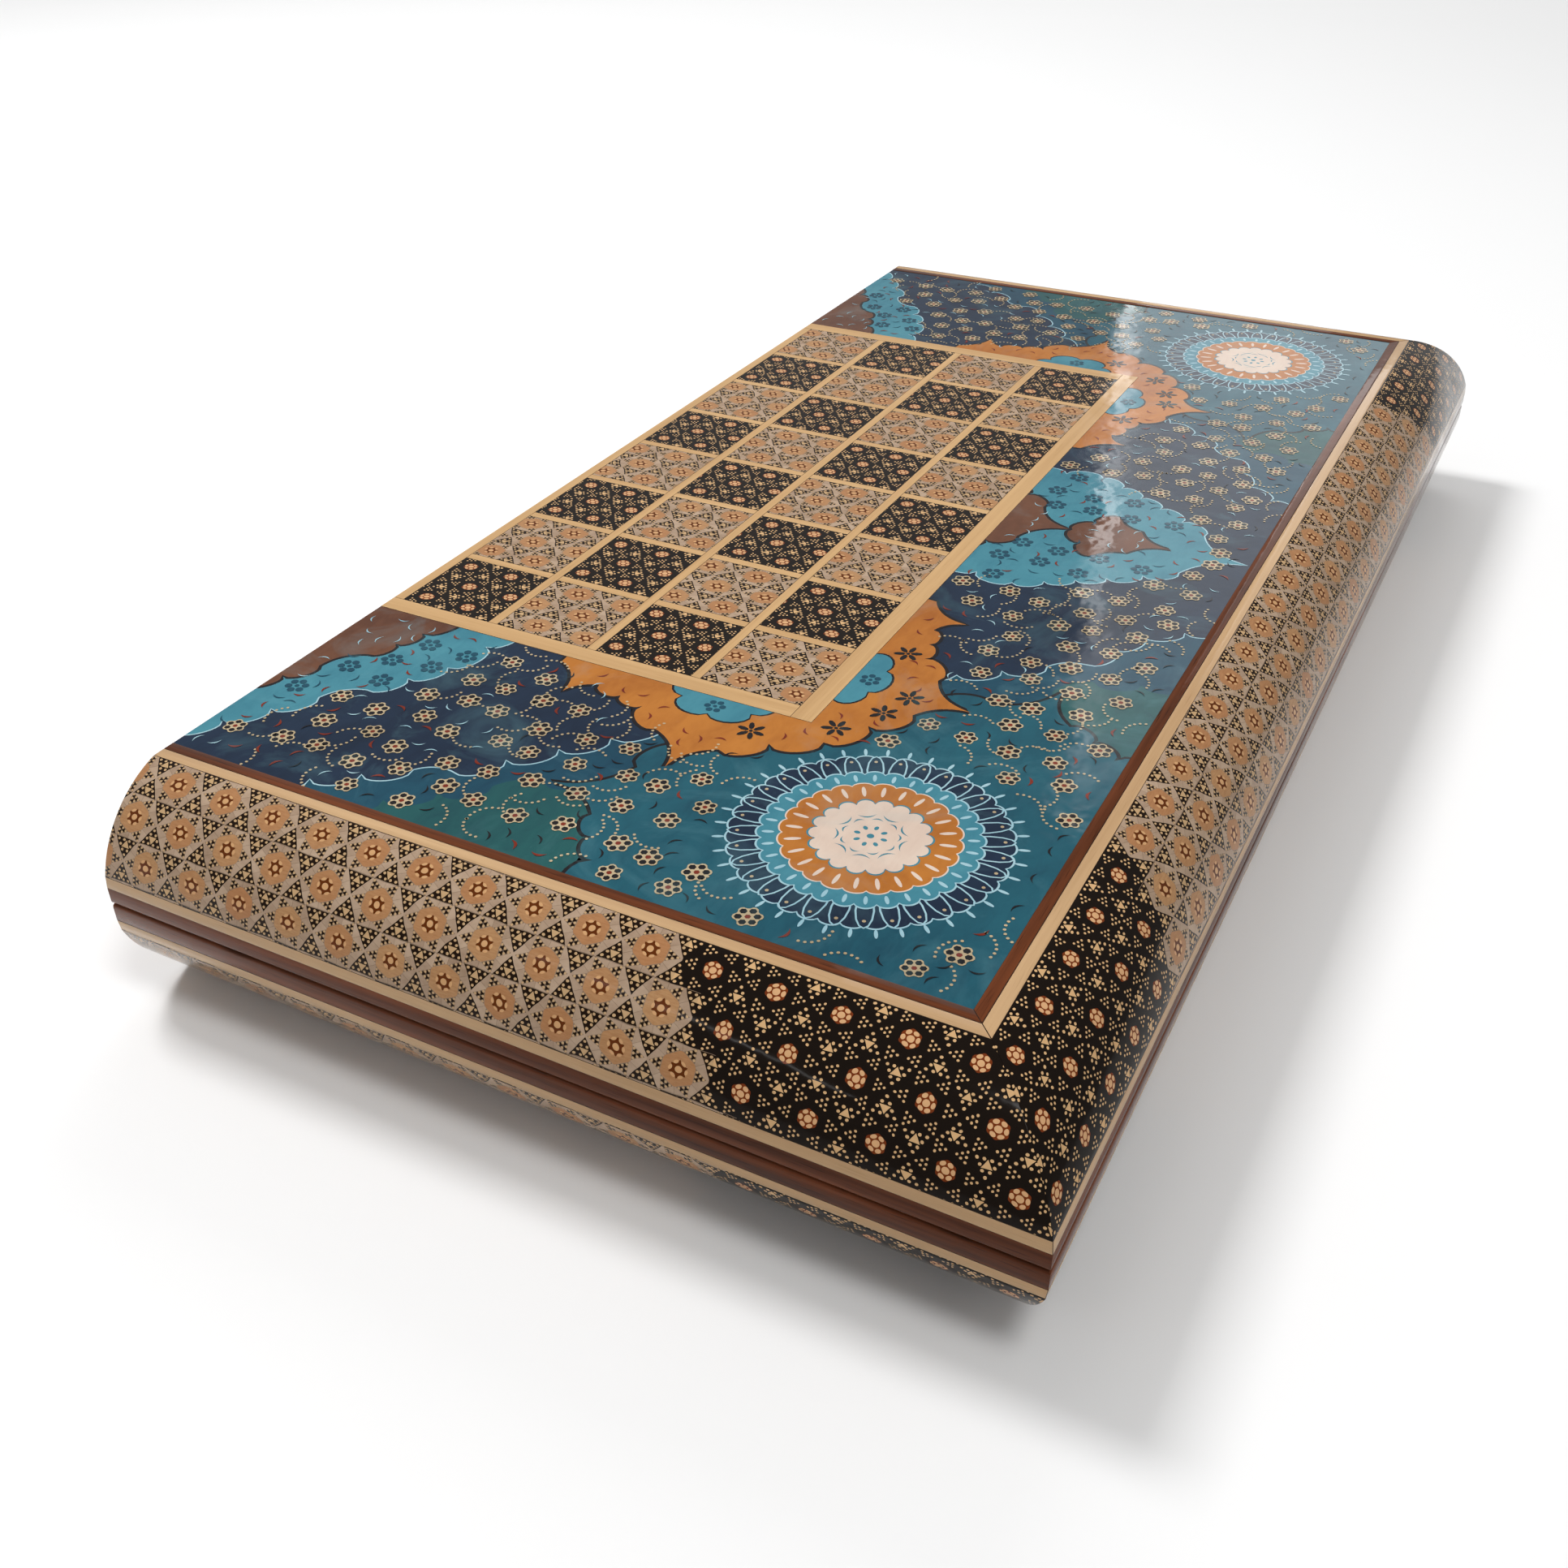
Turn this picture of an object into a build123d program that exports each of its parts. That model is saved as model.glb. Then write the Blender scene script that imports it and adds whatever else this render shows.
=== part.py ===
from build123d import *
import math
import os

# Folding chess and backgammon board, lying closed on its lower half.
# Millimetres. X runs across the board from the hinge to the free long side,
# Y along its length, Z up. The origin is the middle of the flat underside.

# Outer size
board_length = 500.0
board_width = 248.0
tray_height = 31.0

# Rounded moulding round three sides, from the flat face to the rim
moulding_reach = 23.5
arc_width = 23.1
arc_height = 22.6
arc_bulge = 4.2
rim_cream_height = 3.3
rim_edge_radius = 1.2
veneer = 1.2
rim_strip_thickness = 2.0
rim_veneer = 1.0

# Strips round the painted field
cream_strip_width = 3.4
rosewood_strip_width = 3.1

# Chess grid, whose first row starts beside the hinge
cell = 33.4
cells_across = 4
cells_along = 8
line_width = 3.0
hinge_line_width = 3.3
border_width = 6.2

# Dark inlay at the outer corners of the moulding
corner_reach = 67.0
corner_slant = 16.7

# Inside of each tray
panel_top = 6.0
inner_veneer = 1.0
wall = 16.0
hinge_wall = 10.0
inner_border_width = 6.0
points_across = 6
point_length = 172.0
point_gap = 3.0

# Butt hinges
hinge_places = (-160.0, 0.0, 160.0)
hinge_length = 32.0
knuckle_count = 5
knuckle_gap = 0.2
barrel_radius = 2.0
barrel_room = 0.3
axis_outset = 0.2
pin_radius = 0.9
pin_clearance = 0.05
leaf_width = 9.0
leaf_thickness = 0.95
screw_spacing = 10.5
screw_length = 7.5
screw_shank_radius = 0.95
screw_head_radius = 1.9
screw_clearance = 0.05
screw_slot_width = 0.5
screw_slot_depth = 0.35

# Closing magnets
magnet_radius = 4.0
magnet_height = 3.0
magnet_sink = 0.1
magnet_clearance = 0.05
magnet_places = (-150.0, 150.0)

# Places worked out from the sizes above
hinge_x = -board_width / 2
free_x = board_width / 2
end_y = board_length / 2
field_x = free_x - moulding_reach
field_y = end_y - moulding_reach
grid_x = hinge_x + hinge_line_width - line_width / 2
window = cell - line_width
lines_x = grid_x + cells_across * cell - line_width / 2
lines_y = (cells_along * cell - line_width) / 2
border_x = lines_x + border_width
border_y = lines_y + border_width
strips_width = cream_strip_width + rosewood_strip_width
paint_x = field_x - strips_width
paint_y = field_y - strips_width
well_hinge_x = hinge_x + hinge_wall
well_free_x = free_x - wall
well_y = end_y - wall
table_hinge_x = well_hinge_x + inner_border_width
table_free_x = well_free_x - inner_border_width
table_y = well_y - inner_border_width
point_pitch = (table_free_x - table_hinge_x) / points_across
rim_strip_x = free_x - rim_strip_thickness
rim_strip_y = end_y - rim_strip_thickness
rim_rosewood_z = arc_height + rim_cream_height
wall_top = tray_height - rim_veneer
axis_x = hinge_x - axis_outset
screw_x = axis_x + barrel_radius + (leaf_width - barrel_radius) / 2
magnet_x = (well_free_x + rim_strip_x) / 2
knuckle_pitch = hinge_length / knuckle_count

# Planes that cut the mitres and the walls
front_mitre = Plane(origin=(field_x, -field_y, 0), z_dir=(1, 1, 0))
back_mitre = Plane(origin=(field_x, field_y, 0), z_dir=(1, -1, 0))
parting = Plane.XY.offset(tray_height)


# The curve of the moulding, as distance outward from the flat field and
# height from the flat face, drawn a little further in for an inner layer
def moulding_curve(inset):
    chord = math.hypot(arc_width, arc_height)
    radius = (chord**2 / 4 + arc_bulge**2) / (2 * arc_bulge)
    rise = (radius - arc_bulge) / chord
    centre = (arc_width / 2 - arc_height * rise, arc_height / 2 + arc_width * rise)
    middle_angle = math.atan2(-arc_width, arc_height)
    end_angle = math.atan2(arc_height - centre[1], arc_width - centre[0])
    reach = radius - inset
    middle = tuple(c + reach * f(middle_angle) for c, f in zip(centre, (math.cos, math.sin)))
    end = tuple(c + reach * f(end_angle) for c, f in zip(centre, (math.cos, math.sin)))
    return (0.0, inset), middle, end


# One edge of the section from the flat face up to the parting line,
# drawn into the open line at distance base, outward on the given side
def draw_edge(base, side, inset):
    def at(point):
        return (side * (base + point[0]), point[1])

    start, middle, end = moulding_curve(inset)
    outer = moulding_reach - inset
    radius = rim_edge_radius if inset == 0 else 0.0
    ThreePointArc(at(start), at(middle), at(end))
    Line(at(end), at((outer, rim_rosewood_z)))
    Line(at((outer, rim_rosewood_z)), at((outer, tray_height - radius)))
    if radius:
        bend = radius * (1 - math.sqrt(0.5))
        ThreePointArc(
            at((outer, tray_height - radius)),
            at((outer - bend, tray_height - bend)),
            at((outer - radius, tray_height)),
        )
    return at((outer - radius, tray_height)), at(start)


# Solid block with the tray's outer shape: two long sections crossed, which
# gives the moulding its mitred corners
def tray_block(inset):
    with BuildPart() as block:
        with BuildSketch(Plane.XZ):
            with BuildLine():
                top, start = draw_edge(field_x, 1, inset)
                Polyline(top, (hinge_x, tray_height), (hinge_x, inset), start)
            make_face()
        extrude(amount=end_y, both=True)
        with BuildSketch(Plane.YZ):
            with BuildLine():
                front_top, front_start = draw_edge(field_y, -1, inset)
                back_top, back_start = draw_edge(field_y, 1, inset)
                Line(front_top, back_top)
                Line(front_start, back_start)
            make_face()
        extrude(amount=free_x, both=True, mode=Mode.INTERSECT)
    return block.part


# Rectangle from the hinge side out to x_edge, as long as y_edge both ways
def open_rectangle(x_edge, y_edge, mode=Mode.ADD):
    with Locations(((hinge_x + x_edge) / 2, 0)):
        Rectangle(x_edge - hinge_x, 2 * y_edge, mode=mode)


# Rectangle between the given edges inside the tray
def well_rectangle(inset=0.0, mode=Mode.ADD):
    low = well_hinge_x + inset
    high = well_free_x - inset
    with Locations(((low + high) / 2, 0)):
        Rectangle(high - low, 2 * (well_y - inset), mode=mode)


# Everything outside the three flat edges, up to the full height
def cut_outside(x_edge, y_edge, low, high):
    with BuildSketch(Plane.XY.offset(low)) as outside:
        open_rectangle(2 * free_x, 2 * end_y)
        open_rectangle(x_edge, y_edge, mode=Mode.SUBTRACT)
    extrude(outside.sketch, amount=high - low, mode=Mode.SUBTRACT)


# Everything within the three flat edges
def cut_inside(x_edge, y_edge, low, high):
    with BuildSketch(Plane.XY.offset(low)) as inside:
        open_rectangle(x_edge, y_edge)
    extrude(inside.sketch, amount=high - low, mode=Mode.SUBTRACT)


def keep_heights(low, high):
    split(bisect_by=Plane.XY.offset(low), keep=Keep.TOP)
    split(bisect_by=Plane.XY.offset(high), keep=Keep.BOTTOM)


def split_at_mitres():
    split(bisect_by=front_mitre, keep=Keep.BOTH)
    split(bisect_by=back_mitre, keep=Keep.BOTH)


# Turns a piece drawn for the lower tray into the upper tray's
def place_in(tray):
    if tray == "upper":
        mirror(about=parting, mode=Mode.REPLACE)


outer_block = tray_block(0.0)
core_block = tray_block(veneer)


# Room in the rims for hinge barrels, screws and magnets
def cut_fittings():
    with Locations(*[(axis_x, y, tray_height) for y in hinge_places]):
        Cylinder(
            barrel_radius + barrel_room,
            hinge_length + 2 * barrel_room,
            rotation=(90, 0, 0),
            mode=Mode.SUBTRACT,
        )
    screws = [(screw_x, y + k * screw_spacing) for y in hinge_places for k in (-1, 0, 1)]
    with BuildSketch(Plane.XY.offset(wall_top - screw_length)) as pilots:
        with Locations(*screws):
            Circle(screw_shank_radius + screw_clearance)
    extrude(pilots.sketch, amount=screw_length, mode=Mode.SUBTRACT)
    with BuildSketch(parting) as pockets:
        with Locations(*[(magnet_x, y) for y in magnet_places]):
            Circle(magnet_radius + magnet_clearance)
    extrude(pockets.sketch, amount=-(magnet_height + magnet_sink), mode=Mode.SUBTRACT)


# The four walls in one, before they are cut apart
with BuildPart() as walls:
    add(core_block)
    keep_heights(panel_top, wall_top)
    with BuildSketch(Plane.XY.offset(panel_top)):
        well_rectangle()
    extrude(amount=tray_height, mode=Mode.SUBTRACT)
    cut_outside(rim_strip_x, rim_strip_y, arc_height, tray_height)
    cut_fittings()
wall_block = walls.part


def front_moulding(tray):
    with BuildPart() as piece:
        add(wall_block)
        split(bisect_by=Plane.XZ.offset(well_y), keep=Keep.TOP)
        split(bisect_by=front_mitre, keep=Keep.BOTTOM)
        place_in(tray)
    return piece


def back_moulding(tray):
    with BuildPart() as piece:
        add(wall_block)
        split(bisect_by=Plane.XZ.offset(-well_y), keep=Keep.BOTTOM)
        split(bisect_by=back_mitre, keep=Keep.BOTTOM)
        place_in(tray)
    return piece


def side_moulding(tray):
    with BuildPart() as piece:
        add(wall_block)
        split(bisect_by=Plane.YZ.offset(well_free_x), keep=Keep.TOP)
        split(bisect_by=front_mitre, keep=Keep.TOP)
        split(bisect_by=back_mitre, keep=Keep.TOP)
        place_in(tray)
    return piece


def hinge_rail(tray):
    with BuildPart() as piece:
        add(wall_block)
        split(bisect_by=Plane.YZ.offset(well_hinge_x), keep=Keep.BOTTOM)
        split(bisect_by=Plane.XZ.offset(well_y), keep=Keep.BOTTOM)
        split(bisect_by=Plane.XZ.offset(-well_y), keep=Keep.TOP)
        place_in(tray)
    return piece


def panel(tray):
    with BuildPart() as piece:
        add(core_block)
        keep_heights(veneer, panel_top)
        place_in(tray)
    return piece


# Inlaid skin over the whole curve, before it is cut into lengths
with BuildPart() as skin:
    add(outer_block)
    add(core_block, mode=Mode.SUBTRACT)
    split(bisect_by=Plane.XY.offset(arc_height), keep=Keep.BOTTOM)
    cut_inside(field_x, field_y, 0.0, arc_height)
skin_block = skin.part

# Slanted joints between the light and the dark inlay
slant = (moulding_reach, corner_slant)
corner_x = field_x - corner_reach
corner_y = field_y - corner_reach
front_joint = Plane(origin=(corner_x, -field_y, 0), z_dir=(slant[0], slant[1], 0))
back_joint = Plane(origin=(corner_x, field_y, 0), z_dir=(slant[0], -slant[1], 0))
side_front_joint = Plane(origin=(field_x, -corner_y, 0), z_dir=(slant[1], slant[0], 0))
side_back_joint = Plane(origin=(field_x, corner_y, 0), z_dir=(slant[1], -slant[0], 0))


def front_khatam(tray):
    with BuildPart() as piece:
        add(skin_block)
        split(bisect_by=front_mitre, keep=Keep.BOTTOM)
        split(bisect_by=front_joint, keep=Keep.BOTTOM)
        place_in(tray)
    return piece


def back_khatam(tray):
    with BuildPart() as piece:
        add(skin_block)
        split(bisect_by=back_mitre, keep=Keep.BOTTOM)
        split(bisect_by=back_joint, keep=Keep.BOTTOM)
        place_in(tray)
    return piece


def side_khatam(tray):
    with BuildPart() as piece:
        add(skin_block)
        split(bisect_by=side_front_joint, keep=Keep.TOP)
        split(bisect_by=side_back_joint, keep=Keep.TOP)
        split(bisect_by=Plane.YZ.offset(field_x), keep=Keep.TOP)
        place_in(tray)
    return piece


def front_corner_khatam(tray):
    with BuildPart() as piece:
        add(skin_block)
        split(bisect_by=side_front_joint, keep=Keep.BOTTOM)
        split(bisect_by=front_joint, keep=Keep.TOP)
        split(bisect_by=Plane.XZ, keep=Keep.TOP)
        split(bisect_by=front_mitre, keep=Keep.BOTH)
        place_in(tray)
    return piece


def back_corner_khatam(tray):
    with BuildPart() as piece:
        add(skin_block)
        split(bisect_by=side_back_joint, keep=Keep.BOTTOM)
        split(bisect_by=back_joint, keep=Keep.TOP)
        split(bisect_by=Plane.XZ, keep=Keep.BOTTOM)
        split(bisect_by=back_mitre, keep=Keep.BOTH)
        place_in(tray)
    return piece


# Three mitred lengths of flat strip, with their outer edges at the given places
def flat_strip(tray, x_edge, y_edge, width):
    with BuildPart() as piece:
        with BuildSketch(Plane.XY):
            open_rectangle(x_edge, y_edge)
            open_rectangle(x_edge - width, y_edge - width, mode=Mode.SUBTRACT)
        extrude(amount=veneer)
        split_at_mitres()
        place_in(tray)
    return piece


def cream_strip(tray):
    return flat_strip(tray, field_x, field_y, cream_strip_width)


def rosewood_strip(tray):
    inset = cream_strip_width
    return flat_strip(tray, field_x - inset, field_y - inset, rosewood_strip_width)


# Three mitred lengths of strip along the rim, between two heights
def rim_strip(tray, low, high):
    with BuildPart() as piece:
        add(outer_block)
        keep_heights(low, high)
        cut_inside(rim_strip_x, rim_strip_y, low, high)
        split_at_mitres()
        place_in(tray)
    return piece


def rim_cream_strip(tray):
    return rim_strip(tray, arc_height, rim_rosewood_z)


def rim_rosewood_strip(tray):
    return rim_strip(tray, rim_rosewood_z, tray_height)


# Inlaid facing on three rims, in mitred lengths let out for the magnets
def rim_khatam(tray):
    with BuildPart() as piece:
        with BuildSketch(Plane.XY.offset(wall_top)):
            open_rectangle(rim_strip_x, rim_strip_y)
            open_rectangle(well_free_x, well_y, mode=Mode.SUBTRACT)
        extrude(amount=rim_veneer)
        cut_fittings()
        split_at_mitres()
        place_in(tray)
    return piece


# Facing on top of the hinge rail, let out for the hinge leaves
def rail_khatam(tray):
    leaf_end = axis_x + leaf_width
    with BuildPart() as piece:
        with BuildSketch(Plane.XY.offset(wall_top)):
            open_rectangle(well_hinge_x, well_y)
            with Locations(*[((hinge_x + leaf_end) / 2, y) for y in hinge_places]):
                Rectangle(leaf_end - hinge_x, hinge_length + 2 * barrel_room, mode=Mode.SUBTRACT)
        extrude(amount=rim_veneer)
        place_in(tray)
    return piece


def painted_field(tray):
    with BuildPart() as piece:
        with BuildSketch(Plane.XY):
            open_rectangle(paint_x, paint_y)
            open_rectangle(border_x, border_y, mode=Mode.SUBTRACT)
        extrude(amount=veneer)
        place_in(tray)
    return piece


def grid_border(tray):
    with BuildPart() as piece:
        with BuildSketch(Plane.XY):
            open_rectangle(border_x, border_y)
            open_rectangle(lines_x, lines_y, mode=Mode.SUBTRACT)
        extrude(amount=veneer)
        place_in(tray)
    return piece


# Centres of the chess squares of one colour. The two trays differ, so that
# the colours go on alternating across the hinge when the board is opened.
def square_centres(tray, dark):
    shift = 0 if (tray == "upper") == dark else 1
    return [
        (grid_x + (i + 0.5) * cell, (j - (cells_along - 1) / 2) * cell)
        for i in range(cells_across)
        for j in range(cells_along)
        if (i + j) % 2 == shift
    ]


def chess_squares(tray, dark):
    with BuildPart() as piece:
        with BuildSketch(Plane.XY):
            with Locations(*square_centres(tray, dark)):
                Rectangle(window, window)
        extrude(amount=veneer)
        place_in(tray)
    return piece


def light_squares(tray):
    return chess_squares(tray, False)


def dark_squares(tray):
    return chess_squares(tray, True)


def grid_lines(tray):
    with BuildPart() as piece:
        with BuildSketch(Plane.XY):
            open_rectangle(lines_x, lines_y)
            with Locations(*square_centres(tray, True), *square_centres(tray, False)):
                Rectangle(window, window, mode=Mode.SUBTRACT)
        extrude(amount=veneer)
        place_in(tray)
    return piece


# Backgammon points of one colour: narrow triangles from both short ends,
# unlike colours facing each other and meeting across the hinge
def draw_points(tray, dark, mode=Mode.ADD):
    shift = 0 if (tray == "upper") == dark else 1
    half = (point_pitch - point_gap) / 2
    for end, side in enumerate((-1, 1)):
        for k in range(points_across):
            if (k + end) % 2 == shift:
                x = table_hinge_x + (k + 0.5) * point_pitch
                base = side * table_y
                tip = side * (table_y - point_length)
                Polygon((x - half, base), (x + half, base), (x, tip), align=None, mode=mode)


def backgammon_points(tray, dark):
    with BuildPart() as piece:
        with BuildSketch(Plane.XY.offset(panel_top)):
            draw_points(tray, dark)
        extrude(amount=inner_veneer)
        place_in(tray)
    return piece


def light_points(tray):
    return backgammon_points(tray, False)


def dark_points(tray):
    return backgammon_points(tray, True)


def inner_field(tray):
    with BuildPart() as piece:
        with BuildSketch(Plane.XY.offset(panel_top)):
            well_rectangle(inner_border_width)
            draw_points(tray, False, mode=Mode.SUBTRACT)
            draw_points(tray, True, mode=Mode.SUBTRACT)
        extrude(amount=inner_veneer)
        place_in(tray)
    return piece


def inner_border(tray):
    with BuildPart() as piece:
        with BuildSketch(Plane.XY.offset(panel_top)):
            well_rectangle()
            well_rectangle(inner_border_width, mode=Mode.SUBTRACT)
        extrude(amount=inner_veneer)
        place_in(tray)
    return piece


# Leaves of the butt hinges. The lower leaves carry the odd knuckles and the
# upper ones the even knuckles, so only the flat part is alike.
def hinge_leaves(tray):
    knuckles = range(0, knuckle_count, 2) if tray == "lower" else range(1, knuckle_count, 2)
    knuckle_length = knuckle_pitch - knuckle_gap
    clear_x = axis_x + barrel_radius + barrel_room
    leaf_end = axis_x + leaf_width
    centres = [
        (y, y + (k - (knuckle_count - 1) / 2) * knuckle_pitch) for y in hinge_places for k in knuckles
    ]
    with BuildPart() as piece:
        with BuildSketch(Plane.XY.offset(wall_top)):
            with Locations(*[((clear_x + leaf_end) / 2, y) for y in hinge_places]):
                Rectangle(leaf_end - clear_x, hinge_length)
            with Locations(*[((axis_x + clear_x) / 2, y) for _, y in centres]):
                Rectangle(clear_x - axis_x, knuckle_length)
        extrude(amount=leaf_thickness)
        with Locations(*[(axis_x, y, tray_height) for _, y in centres]):
            Cylinder(barrel_radius, knuckle_length, rotation=(90, 0, 0))
        with Locations(*[(axis_x, y, tray_height) for y in hinge_places]):
            Cylinder(
                pin_radius + pin_clearance, hinge_length, rotation=(90, 0, 0), mode=Mode.SUBTRACT
            )
        screws = [(screw_x, y + k * screw_spacing) for y in hinge_places for k in (-1, 0, 1)]
        with Locations(*[(x, y, wall_top + leaf_thickness) for x, y in screws]):
            CounterSinkHole(
                screw_shank_radius + screw_clearance,
                screw_head_radius + screw_clearance,
                depth=leaf_thickness,
            )
        place_in(tray)
    return piece


# Slotted countersunk wood screws, three to a leaf
def hinge_screws(tray):
    top = wall_top + leaf_thickness - screw_clearance
    head_height = screw_head_radius - screw_shank_radius
    screws = [(screw_x, y + k * screw_spacing) for y in hinge_places for k in (-1, 0, 1)]
    with BuildPart() as piece:
        with Locations(*[(x, y, top - head_height / 2) for x, y in screws]):
            Cone(screw_shank_radius, screw_head_radius, head_height)
        with BuildSketch(Plane.XY.offset(top - head_height)):
            with Locations(*screws):
                Circle(screw_shank_radius)
        extrude(amount=-(screw_length - head_height))
        with Locations(*[(x, y, top - screw_slot_depth / 2) for x, y in screws]):
            Box(2 * screw_head_radius, screw_slot_width, screw_slot_depth, mode=Mode.SUBTRACT)
        place_in(tray)
    return piece


def magnets(tray):
    with BuildPart() as piece:
        with BuildSketch(Plane.XY.offset(tray_height - magnet_sink)):
            with Locations(*[(magnet_x, y) for y in magnet_places]):
                Circle(magnet_radius)
        extrude(amount=-magnet_height)
        place_in(tray)
    return piece


pieces = (
    front_moulding,
    back_moulding,
    side_moulding,
    hinge_rail,
    panel,
    front_khatam,
    back_khatam,
    side_khatam,
    front_corner_khatam,
    back_corner_khatam,
    cream_strip,
    rosewood_strip,
    rim_cream_strip,
    rim_rosewood_strip,
    rim_khatam,
    rail_khatam,
    painted_field,
    grid_border,
    grid_lines,
    light_squares,
    dark_squares,
    inner_field,
    inner_border,
    light_points,
    dark_points,
    hinge_leaves,
    hinge_screws,
    magnets,
)

os.makedirs("parts", exist_ok=True)
for tray in ("lower", "upper"):
    for make in pieces:
        piece = make(tray)
        piece.part.label = f"{tray}_{make.__name__}"
        export_step(piece.part, f"parts/{piece.part.label}.step")

# Pins through the knuckles, one to a hinge
with BuildPart() as hinge_pins:
    with Locations(*[(axis_x, y, tray_height) for y in hinge_places]):
        Cylinder(pin_radius, hinge_length, rotation=(90, 0, 0))
    chamfer(hinge_pins.edges().filter_by(GeomType.CIRCLE), length=pin_radius / 4)
hinge_pins.part.label = "hinge_pins"
export_step(hinge_pins.part, "parts/hinge_pins.step")
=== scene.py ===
import math
import random
from functools import partial

import bmesh
import bpy
from mathutils import Matrix, Vector


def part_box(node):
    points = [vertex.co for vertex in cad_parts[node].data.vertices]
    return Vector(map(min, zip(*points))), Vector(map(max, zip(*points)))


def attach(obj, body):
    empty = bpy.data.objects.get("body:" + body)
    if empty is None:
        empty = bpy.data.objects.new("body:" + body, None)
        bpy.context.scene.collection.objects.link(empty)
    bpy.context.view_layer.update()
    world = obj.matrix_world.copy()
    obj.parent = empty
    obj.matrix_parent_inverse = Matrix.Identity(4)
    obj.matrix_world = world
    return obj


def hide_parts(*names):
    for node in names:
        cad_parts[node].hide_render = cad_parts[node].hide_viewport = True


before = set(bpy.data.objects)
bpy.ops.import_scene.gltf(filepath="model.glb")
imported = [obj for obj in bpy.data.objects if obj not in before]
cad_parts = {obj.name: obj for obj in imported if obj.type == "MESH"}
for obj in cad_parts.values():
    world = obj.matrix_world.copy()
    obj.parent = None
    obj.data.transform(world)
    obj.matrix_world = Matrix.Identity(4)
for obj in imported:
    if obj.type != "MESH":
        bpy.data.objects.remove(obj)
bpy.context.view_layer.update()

# Folding chess and backgammon board: inlaid mouldings, chess squares, painted field.
# Metres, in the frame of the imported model. The upper tray is modelled first and
# the lower tray is its mirror image about the parting line.

millimetre = 0.001
tiny = 1e-5  # how near two places are to count as the same
quarterTurn = math.pi / 2

# Places read from the frame
paintLow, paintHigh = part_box("upper_painted_field")
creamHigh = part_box("upper_cream_strip")[1]
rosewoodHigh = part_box("upper_rosewood_strip")[1]
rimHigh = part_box("upper_rim_rosewood_strip")[1]
rimCreamLow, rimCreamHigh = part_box("upper_rim_cream_strip")
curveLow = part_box("upper_front_khatam")[0]
borderLow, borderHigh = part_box("upper_grid_border")
linesLow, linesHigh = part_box("upper_grid_lines")
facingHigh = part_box("upper_rim_khatam")[1]
wellLow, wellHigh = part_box("upper_inner_border")
tableLow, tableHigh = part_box("upper_inner_field")
squaresLow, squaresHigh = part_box("upper_dark_squares")

hingeX = paintLow.x
paintX, paintY = paintHigh.x, paintHigh.y
fieldX, fieldY = creamHigh.x, creamHigh.y
endX, endY = rimHigh.x, rimHigh.y
faceZ = paintHigh.z
veneer = paintHigh.z - paintLow.z
partingZ = faceZ / 2
curveDepth = faceZ - curveLow.z


def srgb(red, green, blue):
    def toLinear(value):
        value = value / 255
        return value / 12.92 if value <= 0.04045 else ((value + 0.055) / 1.055) ** 2.4
    return (toLinear(red), toLinear(green), toLinear(blue), 1.0)


# Gives a socket a fixed value or a link
def feed(tree, socket, value):
    if isinstance(value, (int, float, tuple)):
        socket.default_value = value
    else:
        tree.links.new(value, socket)


def calc(tree, operation, *values, clamp=False):
    node = tree.nodes.new("ShaderNodeMath")
    node.operation = operation
    node.use_clamp = clamp
    for socket, value in zip(node.inputs, values):
        feed(tree, socket, value)
    return node.outputs[0]


# Short names for the sums of one tree. The product of two masks is the place where both hold.
def sumsOf(tree):
    operations = ("ADD", "SUBTRACT", "MULTIPLY", "DIVIDE", "LESS_THAN", "GREATER_THAN")
    return [partial(calc, tree, operation) for operation in operations]


def vectorCalc(tree, operation, *values):
    node = tree.nodes.new("ShaderNodeVectorMath")
    node.operation = operation
    for socket, value in zip(node.inputs, values):
        feed(tree, socket, value)
    return node.outputs["Value" if operation in ("DOT_PRODUCT", "LENGTH") else "Vector"]


def joinVector(tree, x, y, z=0.0):
    node = tree.nodes.new("ShaderNodeCombineXYZ")
    for socket, value in zip(node.inputs, (x, y, z)):
        feed(tree, socket, value)
    return node.outputs[0]


def splitVector(tree, vector):
    node = tree.nodes.new("ShaderNodeSeparateXYZ")
    tree.links.new(vector, node.inputs[0])
    return node.outputs[0], node.outputs[1], node.outputs[2]


def mixColour(tree, share, first, second, blend="MIX"):
    node = tree.nodes.new("ShaderNodeMix")
    node.data_type = "RGBA"
    node.blend_type = blend
    for place, value in ((0, share), (6, first), (7, second)):
        feed(tree, node.inputs[place], value)
    return node.outputs[2]


def noise(tree, vector, scale, detail=2.0, roughness=0.5, distortion=0.0, output=0):
    node = tree.nodes.new("ShaderNodeTexNoise")
    node.inputs["Scale"].default_value = scale
    node.inputs["Detail"].default_value = detail
    node.inputs["Roughness"].default_value = roughness
    node.inputs["Distortion"].default_value = distortion
    tree.links.new(vector, node.inputs["Vector"])
    return node.outputs[output]


# Noise whose scale differs along each axis
def stretchedNoise(tree, vector, scales, detail, roughness=0.5, distortion=0.0):
    stretched = vectorCalc(tree, "MULTIPLY", vector, scales)
    return noise(tree, stretched, 1.0, detail, roughness, distortion)


def ramp(tree, value, low, high, outLow=0.0, outHigh=1.0):
    node = tree.nodes.new("ShaderNodeMapRange")
    for socket, number in zip(node.inputs[1:5], (low, high, outLow, outHigh)):
        socket.default_value = number
    tree.links.new(value, node.inputs[0])
    return node.outputs[0]


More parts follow.
